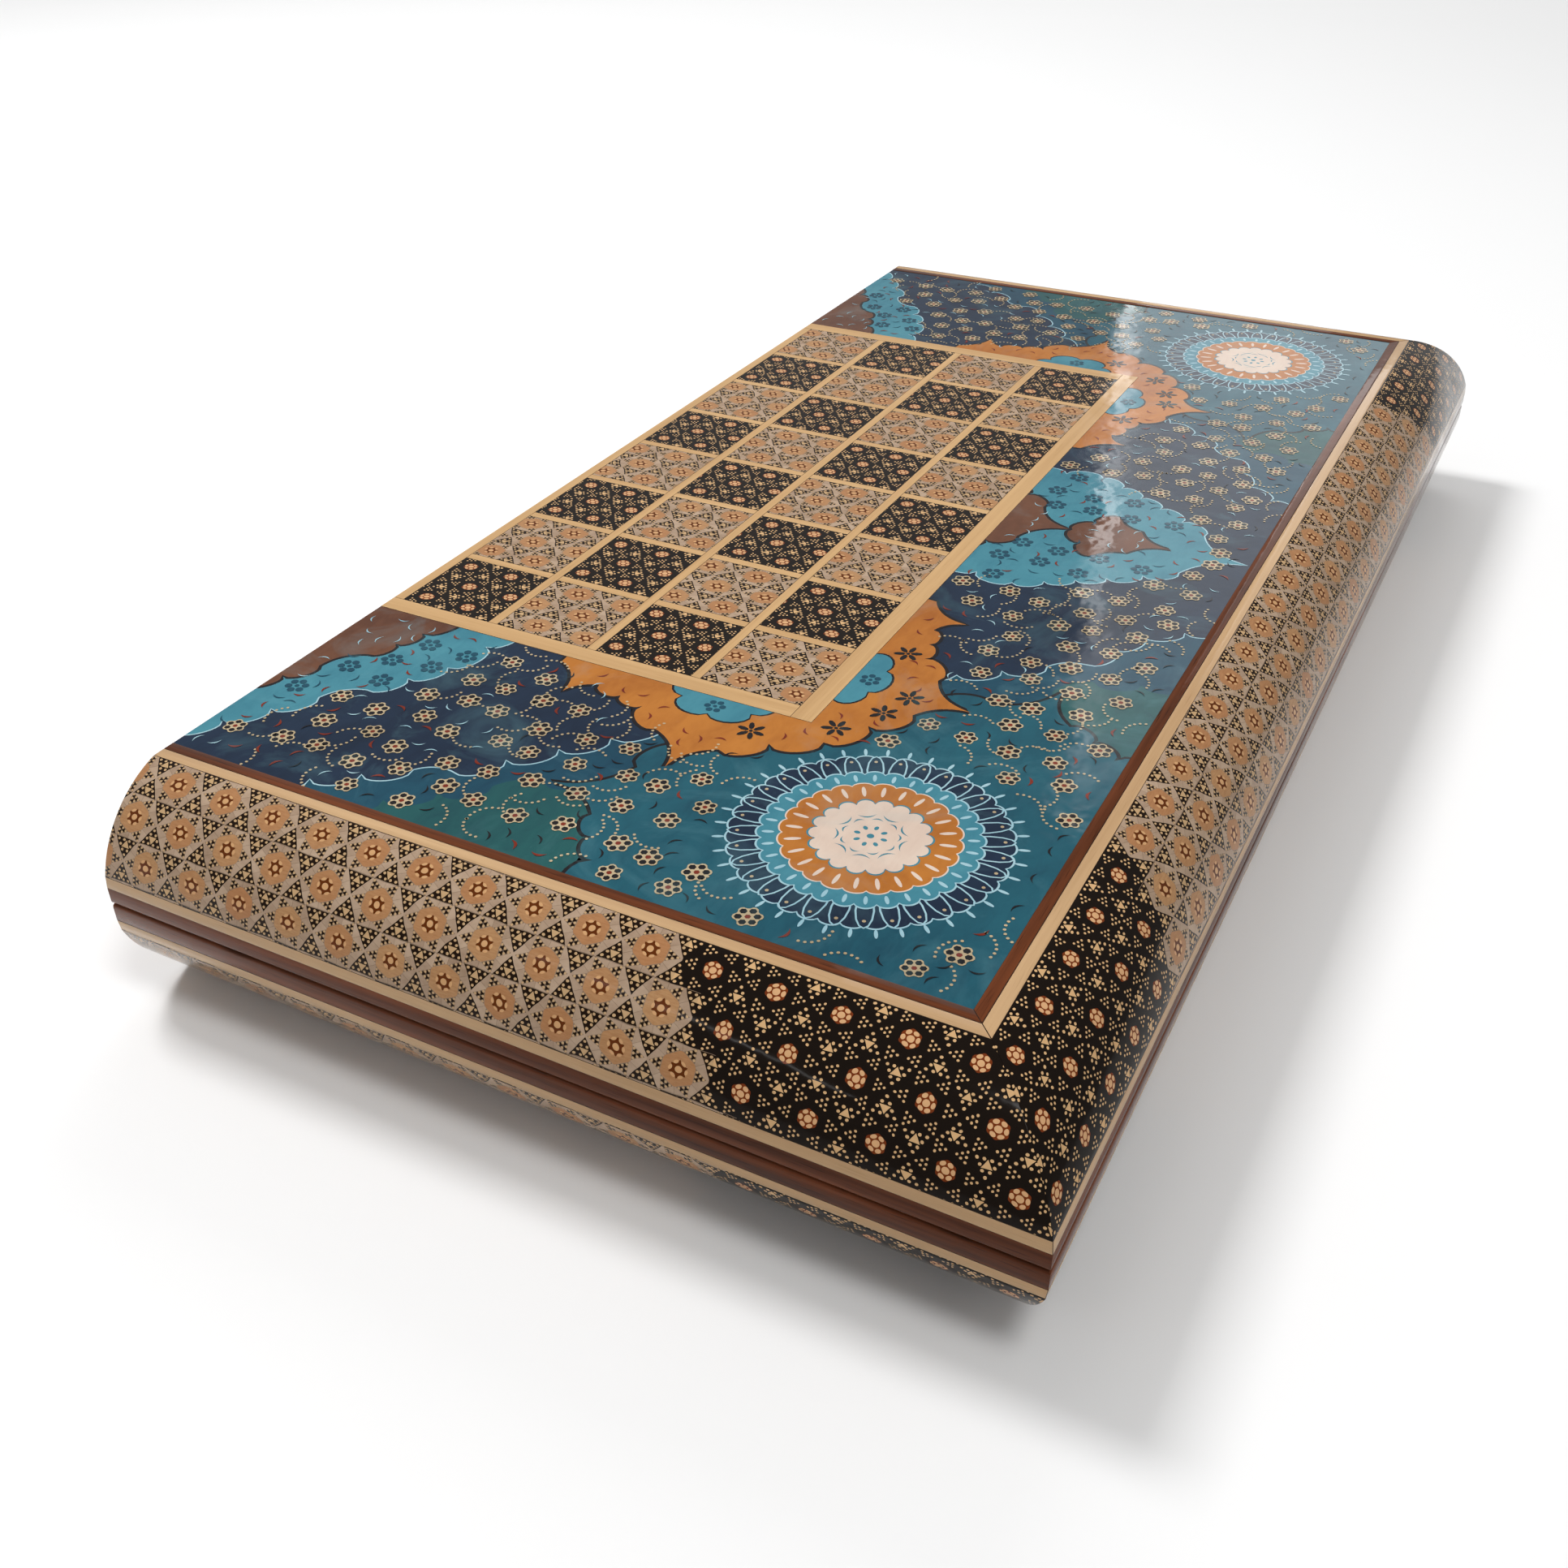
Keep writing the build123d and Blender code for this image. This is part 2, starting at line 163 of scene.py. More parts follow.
def newGroup(name, inputs, outputs):
    group = bpy.data.node_groups.new(name, "ShaderNodeTree")
    for side, sockets in (("INPUT", inputs), ("OUTPUT", outputs)):
        for label, kind in sockets.items():
            group.interface.new_socket(label, in_out=side, socket_type="NodeSocket" + kind)
    return group, group.nodes.new("NodeGroupInput"), group.nodes.new("NodeGroupOutput")


def useGroup(tree, group, **inputs):
    node = tree.nodes.new("ShaderNodeGroup")
    node.node_tree = group
    for label, value in inputs.items():
        feed(tree, node.inputs[label], value)
    return node


# Star inlay: rows of six-pointed stars with rosettes, and dotted triangles between.
# The vector counts repeats: across along a row, and rows from the inner edge.
# The lengths below share one unit, in which a row's repeat is the pitch.
starInlay = {
    "pitch": 15.6, "row": 11.1, "squash": 1.12, "seam": 0.08,
    "wander": 0.075, "wanderScale": 2.3,
    "discFlat": 4.05, "discRound": 4.45, "discGrain": (7.0, 26.0, 1.0), "heart": 0.86,
    "starAt": 1.42, "starLean": (0.914, -0.406),
    "petal": {"at": 1.92, "deep": 0.4, "wide": 0.68},
    "darkPetal": {"at": 1.66, "deep": 0.5, "wide": 0.7},
    "darkFlat": 2.2, "darkRound": 2.42,
    "clusterTip": 7.3, "clusterBase": 4.2, "clusterWide": 1.8, "clusterRows": 3, "clusterDot": 0.37,
    "triangleTip": 0.32, "triangleBase": 5.45, "triangleWide": 3.62, "triangleRows": 4,
    "triangleRim": 0.035, "triangleDot": 0.345, "triangleDotsFrom": 1.98, "triangleMiddle": 1.84,
    "smudgeScale": 5.0, "smudgeShare": 0.5, "sliverShare": 0.55, "wornShare": 0.5, "pieceSeamShare": 0.35,
    "rowSeamShare": 0.6, "discSeamShare": 0.4, "clusterShare": 0.6, "darkStars": 4.5, "darkStep": -0.5,
}
inlayTones = {
    "bone": srgb(190, 165, 141), "boneShade": srgb(150, 125, 103), "seam": srgb(92, 72, 56),
    "disc": srgb(182, 140, 98), "discWarm": srgb(174, 124, 84), "discDeep": srgb(148, 98, 62),
    "star": srgb(96, 46, 16), "petal": srgb(206, 160, 112), "wire": srgb(194, 160, 118),
    "gap": srgb(32, 20, 11), "clusterGround": srgb(58, 42, 30),
    "black": srgb(26, 19, 14), "darkWire": srgb(212, 172, 124), "darkStar": srgb(116, 52, 22),
    "darkPetal": srgb(214, 168, 122), "smudge": srgb(200, 200, 200), "clean": srgb(255, 255, 255),
}


def makeStarInlay(s, tone):
    t, given, result = newGroup(
        "starInlay", {"Vector": "Vector"},
        {"Light": "Color", "Dark": "Color", "Across": "Float", "Row": "Float"})
    plus, minus, times, over, below, above = sumsOf(t)

    # Hand-cut pieces wander a little from their rows
    drift = noise(t, given.outputs[0], s["wanderScale"], 1.0, output="Color")
    shift = vectorCalc(t, "SUBTRACT", drift, (0.5, 0.5, 0.5))
    placed = vectorCalc(t, "MULTIPLY_ADD", shift, (s["wander"],) * 3, given.outputs[0])
    across, down, _ = splitVector(t, placed)
    row = calc(t, "FLOOR", down)
    odd = calc(t, "FLOORED_MODULO", row, 2.0)
    shifted = calc(t, "MULTIPLY_ADD", odd, 0.5, across)
    index = calc(t, "ROUND", shifted)
    x = times(minus(shifted, index), s["pitch"])
    y = times(minus(minus(down, row), 0.5), s["row"])
    absX = calc(t, "ABSOLUTE", x)
    absY = calc(t, "ABSOLUTE", y)

    # Fold the star into one twelfth
    tallY = times(absY, s["squash"])
    half, tall = 0.5, math.sqrt(0.75)
    firstFold = calc(t, "MINIMUM", minus(times(absX, tall), times(tallY, half)), 0.0)
    foldedX = calc(t, "MULTIPLY_ADD", firstFold, -2 * tall, absX)
    foldedY = plus(tallY, firstFold)
    fromSecond = minus(times(foldedX, half), times(foldedY, tall))
    secondFold = calc(t, "MINIMUM", fromSecond, 0.0)
    px = minus(foldedX, secondFold)
    py = calc(t, "MULTIPLY_ADD", secondFold, 2 * tall, foldedY)
    radius = vectorCalc(t, "LENGTH", joinVector(t, absX, tallY))

    def oval(petal):
        part = joinVector(t, over(minus(px, petal["at"]), petal["deep"]), over(py, petal["wide"]))
        return below(vectorCalc(t, "LENGTH", part), 1.0)

    # Three-way coordinates of a small triangle cut into rows, for its dots and gaps
    def dotted(height, wide, rows, dotSize, rim=0.0):
        lowShare = minus(1.0, height)
        first = times(plus(lowShare, wide), 0.5)
        second = times(minus(lowShare, wide), 0.5)
        inside = times(above(height, 0.0), above(second, 0.0))
        grow = rows / (1 - 3 * rim)
        shares = joinVector(t, height, first, second)
        scaled = vectorCalc(t, "MULTIPLY_ADD", shares, (grow,) * 3, (-rim * grow,) * 3)
        rest = vectorCalc(t, "FRACTION", scaled)
        upright = below(vectorCalc(t, "DOT_PRODUCT", rest, (1.0, 1.0, 1.0)), 1.5)
        fromMiddle = vectorCalc(t, "LENGTH", vectorCalc(t, "SUBTRACT", rest, (1 / 3, 1 / 3, 1 / 3)))
        dot = times(inside, times(upright, below(fromMiddle, dotSize)))
        a, b, c = splitVector(t, scaled)
        largest = calc(t, "MAXIMUM", a, calc(t, "MAXIMUM", b, c))
        return inside, dot, times(inside, minus(1.0, upright)), largest

    inCluster, clusterDot, clusterGap, _ = dotted(
        over(minus(px, s["clusterBase"]), s["clusterTip"] - s["clusterBase"]),
        over(py, s["clusterWide"]), s["clusterRows"], s["clusterDot"])
    inTriangle, triangleDot, _, largest = dotted(
        over(minus(s["triangleBase"], absY), s["triangleBase"] - s["triangleTip"]),
        over(minus(s["pitch"] / 2, absX), s["triangleWide"]),
        s["triangleRows"], s["triangleDot"], s["triangleRim"])
    outerDot = times(triangleDot, above(largest, s["triangleDotsFrom"]))
    middle = times(inTriangle, below(largest, s["triangleMiddle"]))
    triangleWire = calc(t, "MAXIMUM", outerDot, middle)

    disc = times(below(px, s["discFlat"]), below(radius, s["discRound"]))
    darkDisc = times(below(px, s["darkFlat"]), below(radius, s["darkRound"]))
    heart = below(radius, s["heart"])
    leanX, leanY = s["starLean"]
    star = below(plus(times(px, leanX), times(py, leanY)), s["starAt"])
    pieceSeam = times(below(calc(t, "ABSOLUTE", fromSecond), s["seam"]), above(radius, s["discRound"]))
    rowSeam = above(absY, s["row"] / 2 - s["seam"])
    discSeam = times(below(radius, s["discRound"] + s["seam"]), minus(1.0, disc))

    # Each bone sliver and each disc has its own tone
    def chance(part):
        node = t.nodes.new("ShaderNodeTexWhiteNoise")
        t.links.new(joinVector(t, index, row, part), node.inputs["Vector"])
        return node.outputs[0]

    slanted = calc(t, "MULTIPLY_ADD", above(y, 0.0), 4.0, 2.0)
    sliver = plus(times(below(fromSecond, 0.0), slanted), above(x, 0.0))
    smudge = noise(t, given.outputs[0], s["smudgeScale"], 4.0, 0.65)
    worn = times(ramp(t, smudge, 0.35, 0.7), s["wornShare"])
    boneTone = plus(times(chance(sliver), s["sliverShare"]), worn, clamp=True)
    discGrain = ramp(t, stretchedNoise(t, placed, s["discGrain"], 3.0, 0.6), 0.4, 0.75, 0.0, 0.5)
    discTone = mixColour(t, chance(7.5), tone["disc"], tone["discWarm"])
    discTone = mixColour(t, discGrain, discTone, tone["discDeep"])

    def lay(colour, layers):
        for mask, layer in layers:
            colour = mixColour(t, mask, colour, layer)
        return colour

    light = lay(mixColour(t, boneTone, tone["bone"], tone["boneShade"]), (
        (times(pieceSeam, s["pieceSeamShare"]), tone["seam"]),
        (times(rowSeam, s["rowSeamShare"]), tone["seam"]),
        (times(discSeam, s["discSeamShare"]), tone["seam"]),
        (disc, discTone), (times(star, disc), tone["star"]),
        (oval(s["petal"]), tone["petal"]), (heart, tone["petal"]),
        (times(inCluster, s["clusterShare"]), tone["clusterGround"]), (clusterGap, tone["gap"]),
        (clusterDot, tone["wire"]), (inTriangle, tone["gap"]), (triangleWire, tone["wire"])))
    dark = lay(tone["black"], (
        (darkDisc, tone["darkStar"]), (times(oval(s["darkPetal"]), darkDisc), tone["darkPetal"]),
        (heart, tone["darkPetal"]), (clusterDot, tone["darkWire"]), (triangleWire, tone["darkWire"])))
    film = mixColour(t, smudge, tone["smudge"], tone["clean"])
    for label, colour in (("Light", light), ("Dark", dark)):
        t.links.new(mixColour(t, s["smudgeShare"], colour, film, "MULTIPLY"), result.inputs[label])
    t.links.new(calc(t, "MULTIPLY_ADD", odd, -0.5, index), result.inputs["Across"])
    t.links.new(row, result.inputs["Row"])
    return t


# Thick lacquer: slow waves in the gloss and faint smears in its roughness
lacquer = {"wave": 38.0, "ripple": 210.0, "rippleShare": 0.22, "smear": 16.0, "smooth": 0.045,
           "dull": 0.16, "bumpDistance": 0.0006, "bumpStrength": 0.35, "index": 1.34}


def makeLacquer(s):
    t, given, result = newGroup("lacquer", {"Vector": "Vector"}, {"Height": "Float", "Roughness": "Float"})
    wave = noise(t, given.outputs[0], s["wave"], 1.0, 0.4, 0.6)
    ripple = noise(t, given.outputs[0], s["ripple"], 1.0, 0.5)
    smear = noise(t, given.outputs[0], s["smear"], 5.0, 0.62, 1.2)
    t.links.new(calc(t, "MULTIPLY_ADD", ripple, s["rippleShare"], wave), result.inputs["Height"])
    t.links.new(ramp(t, smear, 0.35, 0.72, s["smooth"], s["dull"]), result.inputs["Roughness"])
    return t


# Fine straight grain that runs along the first axis of the given vector
woodGrain = {"fine": (10.0, 420.0, 420.0), "wide": (6.0, 90.0, 90.0), "pores": (90.0, 2600.0, 2600.0),
             "poreShare": 0.35}


def makeGrain(s):
    t, given, result = newGroup(
        "woodGrain", {"Vector": "Vector", "Light": "Color", "Dark": "Color", "Contrast": "Float"},
        {"Color": "Color"})
    fine = stretchedNoise(t, given.outputs[0], s["fine"], 4.0, 0.6)
    wide = stretchedNoise(t, given.outputs[0], s["wide"], 3.0, 0.55, 0.8)
    pores = stretchedNoise(t, given.outputs[0], s["pores"], 1.0)
    blended = calc(t, "ADD", ramp(t, fine, 0.3, 0.7, 0.0, 0.5), ramp(t, wide, 0.3, 0.7, 0.0, 0.5))
    pored = calc(t, "ADD", blended, ramp(t, pores, 0.62, 0.75, 0.0, s["poreShare"]))
    share = calc(t, "MULTIPLY", pored, given.outputs["Contrast"], clamp=True)
    t.links.new(mixColour(t, share, given.outputs["Light"], given.outputs["Dark"]), result.inputs["Color"])
    return t


# Brush marks: slow patches, fine streaks of a darker tone and faint pale clouds
brushwork = {"patch": 26.0, "patchShare": 0.65, "streak": (260.0, 90.0, 90.0), "streakShare": 0.4,
             "cloud": 34.0, "cloudShare": 0.17, "cloudTone": srgb(116, 168, 176)}


def makeBrushwork(s):
    t, given, result = newGroup(
        "brushwork", {"Vector": "Vector", "Paint": "Color", "Shade": "Color"}, {"Color": "Color"})
    patch = noise(t, given.outputs[0], s["patch"], 4.0, 0.6, 0.8)
    streak = stretchedNoise(t, given.outputs[0], s["streak"], 4.0, 0.65, 0.5)
    cloud = noise(t, given.outputs[0], s["cloud"], 5.0, 0.6, 1.4)
    share = calc(t, "ADD", ramp(t, patch, 0.35, 0.68, 0.0, s["patchShare"]),
                 ramp(t, streak, 0.42, 0.75, 0.0, s["streakShare"]), clamp=True)
    toned = mixColour(t, share, given.outputs["Paint"], given.outputs["Shade"])
    clouded = mixColour(t, ramp(t, cloud, 0.52, 0.78, 0.0, s["cloudShare"]), toned, s["cloudTone"])
    t.links.new(clouded, result.inputs["Color"])
    return t


print("Making the shared effects")
starGroup = makeStarInlay(starInlay, inlayTones)
lacquerGroup = makeLacquer(lacquer)
grainGroup = makeGrain(woodGrain)
brushGroup = makeBrushwork(brushwork)


def startMaterial(name):
    material = bpy.data.materials.new(name)
    material.use_nodes = True
    tree = material.node_tree
    return material, tree, tree.nodes["Principled BSDF"], tree.nodes.new("ShaderNodeTexCoord")


def addBump(tree, shader, height, strength, distance):
    bump = tree.nodes.new("ShaderNodeBump")
    bump.inputs["Strength"].default_value = strength
    bump.inputs["Distance"].default_value = distance
    tree.links.new(height, bump.inputs["Height"])
    tree.links.new(bump.outputs[0], shader.inputs["Normal"])


# Gives the material its colour, with the lacquer over it
def varnish(tree, shader, coordinates, colour, index=lacquer["index"]):
    coat = useGroup(tree, lacquerGroup, Vector=coordinates.outputs["Object"])
    tree.links.new(colour, shader.inputs["Base Color"])
    tree.links.new(coat.outputs["Roughness"], shader.inputs["Roughness"])
    addBump(tree, shader, coat.outputs["Height"], lacquer["bumpStrength"], lacquer["bumpDistance"])
    shader.inputs["IOR"].default_value = index


def inlayMaterial(name, variant, index):
    material, tree, shader, coordinates = startMaterial(name)
    stars = useGroup(tree, starGroup, Vector=coordinates.outputs["UV"])
    if variant == "stepped":
        # Dark stars in each outer corner, half a star less with each row down
        step, start = starInlay["darkStep"], starInlay["darkStars"]
        limit = calc(tree, "MULTIPLY_ADD", stars.outputs["Row"], step, start)
        isDark = calc(tree, "LESS_THAN", stars.outputs["Across"], limit)
        colour = mixColour(tree, isDark, stars.outputs["Light"], stars.outputs["Dark"])
    else:
        colour = stars.outputs[variant]
    varnish(tree, shader, coordinates, colour, index)
    return material


# Inlay on a flat frame round the well, laid by distance from the frame's inner edge
def facingMaterial(name, low, high, row, pitch, start=100.0):
    material, tree, shader, coordinates = startMaterial(name)
    plus, minus, times, _, _, above = sumsOf(tree)
    x, y, _ = splitVector(tree, coordinates.outputs["Object"])
    outX = calc(tree, "MAXIMUM", minus(x, high.x), minus(low.x, x))
    outY = minus(calc(tree, "ABSOLUTE", y), high.y)
    isEnd = above(outY, outX)
    along = plus(times(isEnd, x), times(minus(1.0, isEnd), y))
    out = calc(tree, "MAXIMUM", outX, outY)
    vector = joinVector(tree, calc(tree, "MULTIPLY_ADD", along, 1 / pitch, start), times(out, 1 / row))
    stars = useGroup(tree, starGroup, Vector=vector)
    varnish(tree, shader, coordinates, stars.outputs["Dark"])
    return material


def woodMaterial(name, light, dark, contrast, source="UV", turn=0.0, index=lacquer["index"]):
    material, tree, shader, coordinates = startMaterial(name)
    vector = coordinates.outputs[source]
    if turn:
        mapping = tree.nodes.new("ShaderNodeMapping")
        mapping.inputs["Rotation"].default_value = (0, 0, turn)
        tree.links.new(vector, mapping.inputs["Vector"])
        vector = mapping.outputs[0]
    grain = useGroup(tree, grainGroup, Vector=vector, Light=srgb(*light), Dark=srgb(*dark), Contrast=contrast)
    varnish(tree, shader, coordinates, grain.outputs["Color"], index)
    return material


def paintMaterial(name, paint, shade):
    material, tree, shader, coordinates = startMaterial(name)
    place = coordinates.outputs["Object"]
    brush = useGroup(tree, brushGroup, Vector=place, Paint=srgb(*paint), Shade=srgb(*shade))
    varnish(tree, shader, coordinates, brush.outputs["Color"])
    return material


def metalMaterial(name, bright, dull, smooth, worn, lineScale):
    material, tree, shader, coordinates = startMaterial(name)
    tarnish = noise(tree, coordinates.outputs["Object"], 240.0, 4.0, 0.6)
    lines = stretchedNoise(tree, coordinates.outputs["Object"], lineScale, 2.0, 0.6)
    colour = mixColour(tree, ramp(tree, tarnish, 0.4, 0.75), srgb(*bright), srgb(*dull))
    tree.links.new(colour, shader.inputs["Base Color"])
    tree.links.new(ramp(tree, lines, 0.3, 0.7, smooth, worn), shader.inputs["Roughness"])
    shader.inputs["Metallic"].default_value = 1.0
    addBump(tree, shader, lines, 0.25, 0.04 * millimetre)
    return material


print("Making the finishes")
# Name, light tone, dark tone, contrast, coordinates, turn and index of the lacquer
woods = {
    "cream": ("creamStripWood", (196, 162, 122), (160, 126, 90), 0.8, "UV", 0, 1.24),
    "line": ("gridLineWood", (204, 167, 120), (170, 132, 88), 0.8, "UV", 0, 1.26),
    "rosewood": ("rosewoodStrip", (118, 64, 37), (48, 25, 14), 1.0, "UV", 0, 1.2),
    "glue": ("glueLine", (70, 48, 34), (40, 26, 18), 1.0),
    "coreX": ("wallWoodX", (150, 104, 66), (92, 56, 34), 0.9, "Object"),
    "coreY": ("wallWoodY", (150, 104, 66), (92, 56, 34), 0.9, "Object", quarterTurn),
    "panel": ("panelWood", (168, 124, 82), (120, 80, 50), 0.8, "Object", quarterTurn),
    "table": ("tableWood", (136, 74, 46), (78, 36, 22), 0.9, "Object", quarterTurn),
    "pointLight": ("palePointWood", (214, 186, 146), (180, 144, 100), 0.8, "Object", quarterTurn),
    "pointDark": ("blackPointWood", (58, 42, 34), (26, 19, 16), 0.9, "Object", quarterTurn),
}
paints = {
    "teal": ("tealPaint", (30, 86, 100), (19, 64, 80)),
    "green": ("greenTealPaint", (32, 84, 84), (22, 62, 70)),
    "navy": ("navyPaint", (26, 43, 64), (17, 30, 48)),
    "turquoise": ("turquoisePaint", (68, 131, 145), (46, 106, 124)),
    "ochre": ("ochrePaint", (180, 114, 46), (148, 84, 30)),
    "brown": ("brownPaint", (106, 68, 48), (80, 48, 34)),
    "ivory": ("ivoryPaint", (212, 194, 178), (196, 172, 156)),
    "pale": ("paleBluePaint", (160, 192, 200), (128, 168, 182)),
    "gold": ("goldDotPaint", (186, 168, 136), (150, 130, 98)),
    "ink": ("inkPaint", (28, 24, 26), (18, 16, 20)),
    "red": ("redPaint", (120, 42, 24), (96, 32, 20)),
    "deep": ("deepTealPaint", (26, 72, 90), (16, 52, 72)),
}
finishes = {
    "stepped": inlayMaterial("mouldingInlay", "stepped", 1.18),
    "light": inlayMaterial("lightInlay", "Light", 1.26),
    "dark": inlayMaterial("darkInlay", "Dark", 1.26),
    "rimFacing": facingMaterial("rimFacingInlay", wellLow, wellHigh, 0.0061, 0.0086),
    "railFacing": facingMaterial("railFacingInlay", wellLow, wellHigh, 0.01, 0.01405),
    "innerFacing": facingMaterial("wellBorderInlay", tableLow, tableHigh, 0.006, 0.00843),
    "brass": metalMaterial("hingeBrass", (214, 176, 98), (150, 112, 58), 0.22, 0.42, (900.0, 60.0, 900.0)),
    "steel": metalMaterial("magnetSteel", (190, 190, 188), (140, 140, 142), 0.25, 0.45, (700.0,) * 3),
}
finishes.update({key: woodMaterial(*values) for key, values in woods.items()})
finishes.update({key: paintMaterial(*values) for key, values in paints.items()})


# Modelling helpers

def deselect():
    if bpy.context.mode != "OBJECT":
        bpy.ops.object.mode_set(mode="OBJECT")
    bpy.ops.object.select_all(action="DESELECT")


def activate(piece):
    deselect()
    piece.select_set(True)
    bpy.context.view_layer.objects.active = piece


def openEdit(piece, action="SELECT"):
    activate(piece)
    bpy.ops.object.mode_set(mode="EDIT")
    bpy.ops.mesh.select_all(action=action)


def closeEdit():
    bpy.ops.object.mode_set(mode="OBJECT")


def applyPlace(piece):
    activate(piece)
    bpy.ops.object.transform_apply(location=True, rotation=True, scale=True)


def addBlock(name, low, high):
    deselect()
    low, high = Vector(low), Vector(high)
    bpy.ops.mesh.primitive_cube_add(size=1, location=(low + high) / 2)
    piece = bpy.context.object
    piece.name = name
    piece.scale = high - low
    applyPlace(piece)
    return piece


# Keeps what lies behind the plane and closes the cut
def cutPiece(piece, point, normal, fill=True):
    openEdit(piece)
    bpy.ops.mesh.bisect(plane_co=point, plane_no=normal, use_fill=fill, clear_outer=True, threshold=1e-7)
    closeEdit()


# Moves the points that the test picks
def movePoints(piece, test, offset):
    openEdit(piece, "DESELECT")
    shape = bmesh.from_edit_mesh(piece.data)
    for point in shape.verts:
        point.select = test(point.co)
    shape.select_flush_mode()
    bmesh.update_edit_mesh(piece.data)
    bpy.ops.transform.translate(value=offset)
    closeEdit()


def tidyMesh(piece):
    openEdit(piece)
    bpy.ops.mesh.remove_doubles(threshold=1e-6)
    bpy.ops.mesh.normals_make_consistent(inside=False)
    closeEdit()


def shadeSmooth(piece):
    activate(piece)
    bpy.ops.object.shade_smooth_by_angle(angle=math.radians(30))


def softenEdges(piece, width, segments=2, material=-1, angle=35):
    bevel = piece.modifiers.new("edges", "BEVEL")
    bevel.width = width
    bevel.segments = segments
    bevel.limit_method = "ANGLE"
    bevel.angle_limit = math.radians(angle)
    bevel.material = material
    activate(piece)
    bpy.ops.object.modifier_apply(modifier=bevel.name)
    shadeSmooth(piece)


def joinPieces(name, pieces):
    deselect()
    for piece in pieces:
        piece.select_set(True)
    bpy.context.view_layer.objects.active = pieces[0]
    if len(pieces) > 1:
        bpy.ops.object.join()
    piece = bpy.context.object
    piece.name = name
    piece.data.name = name
    return piece


def copyPiece(piece, name, matrix=None):
    twin = piece.copy()
    twin.data = piece.data.copy()
    twin.name = name
    bpy.context.scene.collection.objects.link(twin)
    if matrix is not None:
        twin.data.transform(matrix)
        if matrix.determinant() < 0:
            twin.data.flip_normals()
    return twin


# Lays the first UV map by a rule from a point to its place in the pattern
def layMap(piece, rule):
    mesh = piece.data
    layer = mesh.uv_layers.active or mesh.uv_layers.new(name="pattern")
    for loop in mesh.loops:
        layer.data[loop.index].uv = rule(mesh.vertices[loop.vertex_index].co)


def alongX(spot):
    return (spot.x, spot.y + spot.z)


def alongY(spot):
    return (spot.y, spot.x + spot.z + 1.0)


def dress(piece, *keys):
    piece.data.materials.clear()
    for key in keys:
        piece.data.materials.append(finishes[key])


toBack = Matrix.Diagonal((1, -1, 1, 1))
toLower = Matrix.Translation((0, 0, faceZ)) @ Matrix.Diagonal((1, 1, -1, 1))


# Names the body that a piece rides on and the imported node that it stands for
def seat(piece, body, node):
    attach(piece, body + "_tray")
    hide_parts(body + "_" + node)


# Gives both trays the piece: the one made for the upper tray and its mirror image
def forBothTrays(piece, node):
    lower = copyPiece(piece, "lower_" + piece.name, toLower)
    piece.name = "upper_" + piece.name
    seat(piece, "upper", node)
    seat(lower, "lower", node)


# Rounded mouldings with star inlay: one bulged curve from the field down to the rim.
# The dark corner starts darkReach from the corner and slants by darkSlant on its way down.
moulding = {"bulge": 0.0042, "steps": 26, "edge": 0.0001, "rows": 3.04, "endPitch": 0.0151,
            "sideStars": 14, "darkReach": 0.067, "darkSlant": 0.0167}
sidePitch = fieldY / moulding["sideStars"]
curveWide = -curveLow.y - fieldY
chord = math.hypot(curveWide, curveDepth)
curveRadius = (chord**2 / 4 + moulding["bulge"]**2) / (2 * moulding["bulge"])
curveRise = (curveRadius - moulding["bulge"]) / chord
curveCentre = (curveWide / 2 - curveDepth * curveRise, curveDepth / 2 + curveWide * curveRise)
startAngle = math.atan2(curveCentre[1], curveCentre[0])
endAngle = math.atan2(curveCentre[1] - curveDepth, curveCentre[0] - curveWide)
sweepAngle = endAngle - startAngle
rowPitch = curveRadius * sweepAngle / moulding["rows"]


# One straight length along X whose curve faces -Y, with its flat edge at -edge
def rollLength(name, edge, low, high):
    deselect()
    middle = curveRadius - veneer / 2
    centreY = -edge - curveCentre[0]
    centreZ = faceZ - curveCentre[1]
    startY = centreY + middle * math.cos(startAngle)
    startZ = centreZ + middle * math.sin(startAngle)
    bpy.ops.mesh.primitive_plane_add(
        size=1, location=((low + high) / 2, startY, startZ), rotation=(startAngle, 0, 0))
    piece = bpy.context.object
    piece.name = name
    piece.scale = (high - low, veneer, 1)
    applyPlace(piece)
    openEdit(piece)
    bpy.ops.mesh.spin(
        steps=moulding["steps"], angle=-sweepAngle, center=(0, centreY, centreZ), axis=(1, 0, 0))
    closeEdit()
    tidyMesh(piece)
    return piece


def rowPlace(out, up):
    angle = math.atan2(up - faceZ + curveCentre[1], curveCentre[0] - out)
    return curveRadius * (angle - startAngle) / rowPitch


def endRule(spot):
    return ((fieldX - spot.x) / moulding["endPitch"], rowPlace(abs(spot.y) - fieldY, spot.z))


def sideRule(spot):
    return ((fieldY - abs(spot.y)) / sidePitch, rowPlace(spot.x - fieldX, spot.z))


print("Rolling the mouldings")
reach, slant = moulding["darkReach"], moulding["darkSlant"]
mitre = Vector((1, 1, 0)).normalized()
backMitre = Vector((-1, 1, 0))
frontCorner = Vector((fieldX, -fieldY, 0))
frontJoint = Vector((fieldX - reach, -fieldY, 0))
frontNormal = Vector((endX - fieldX, slant, 0)).normalized()
sideJoint = Vector((fieldX, -fieldY + reach, 0))
sideNormal = Vector((slant, endX - fieldX, 0)).normalized()

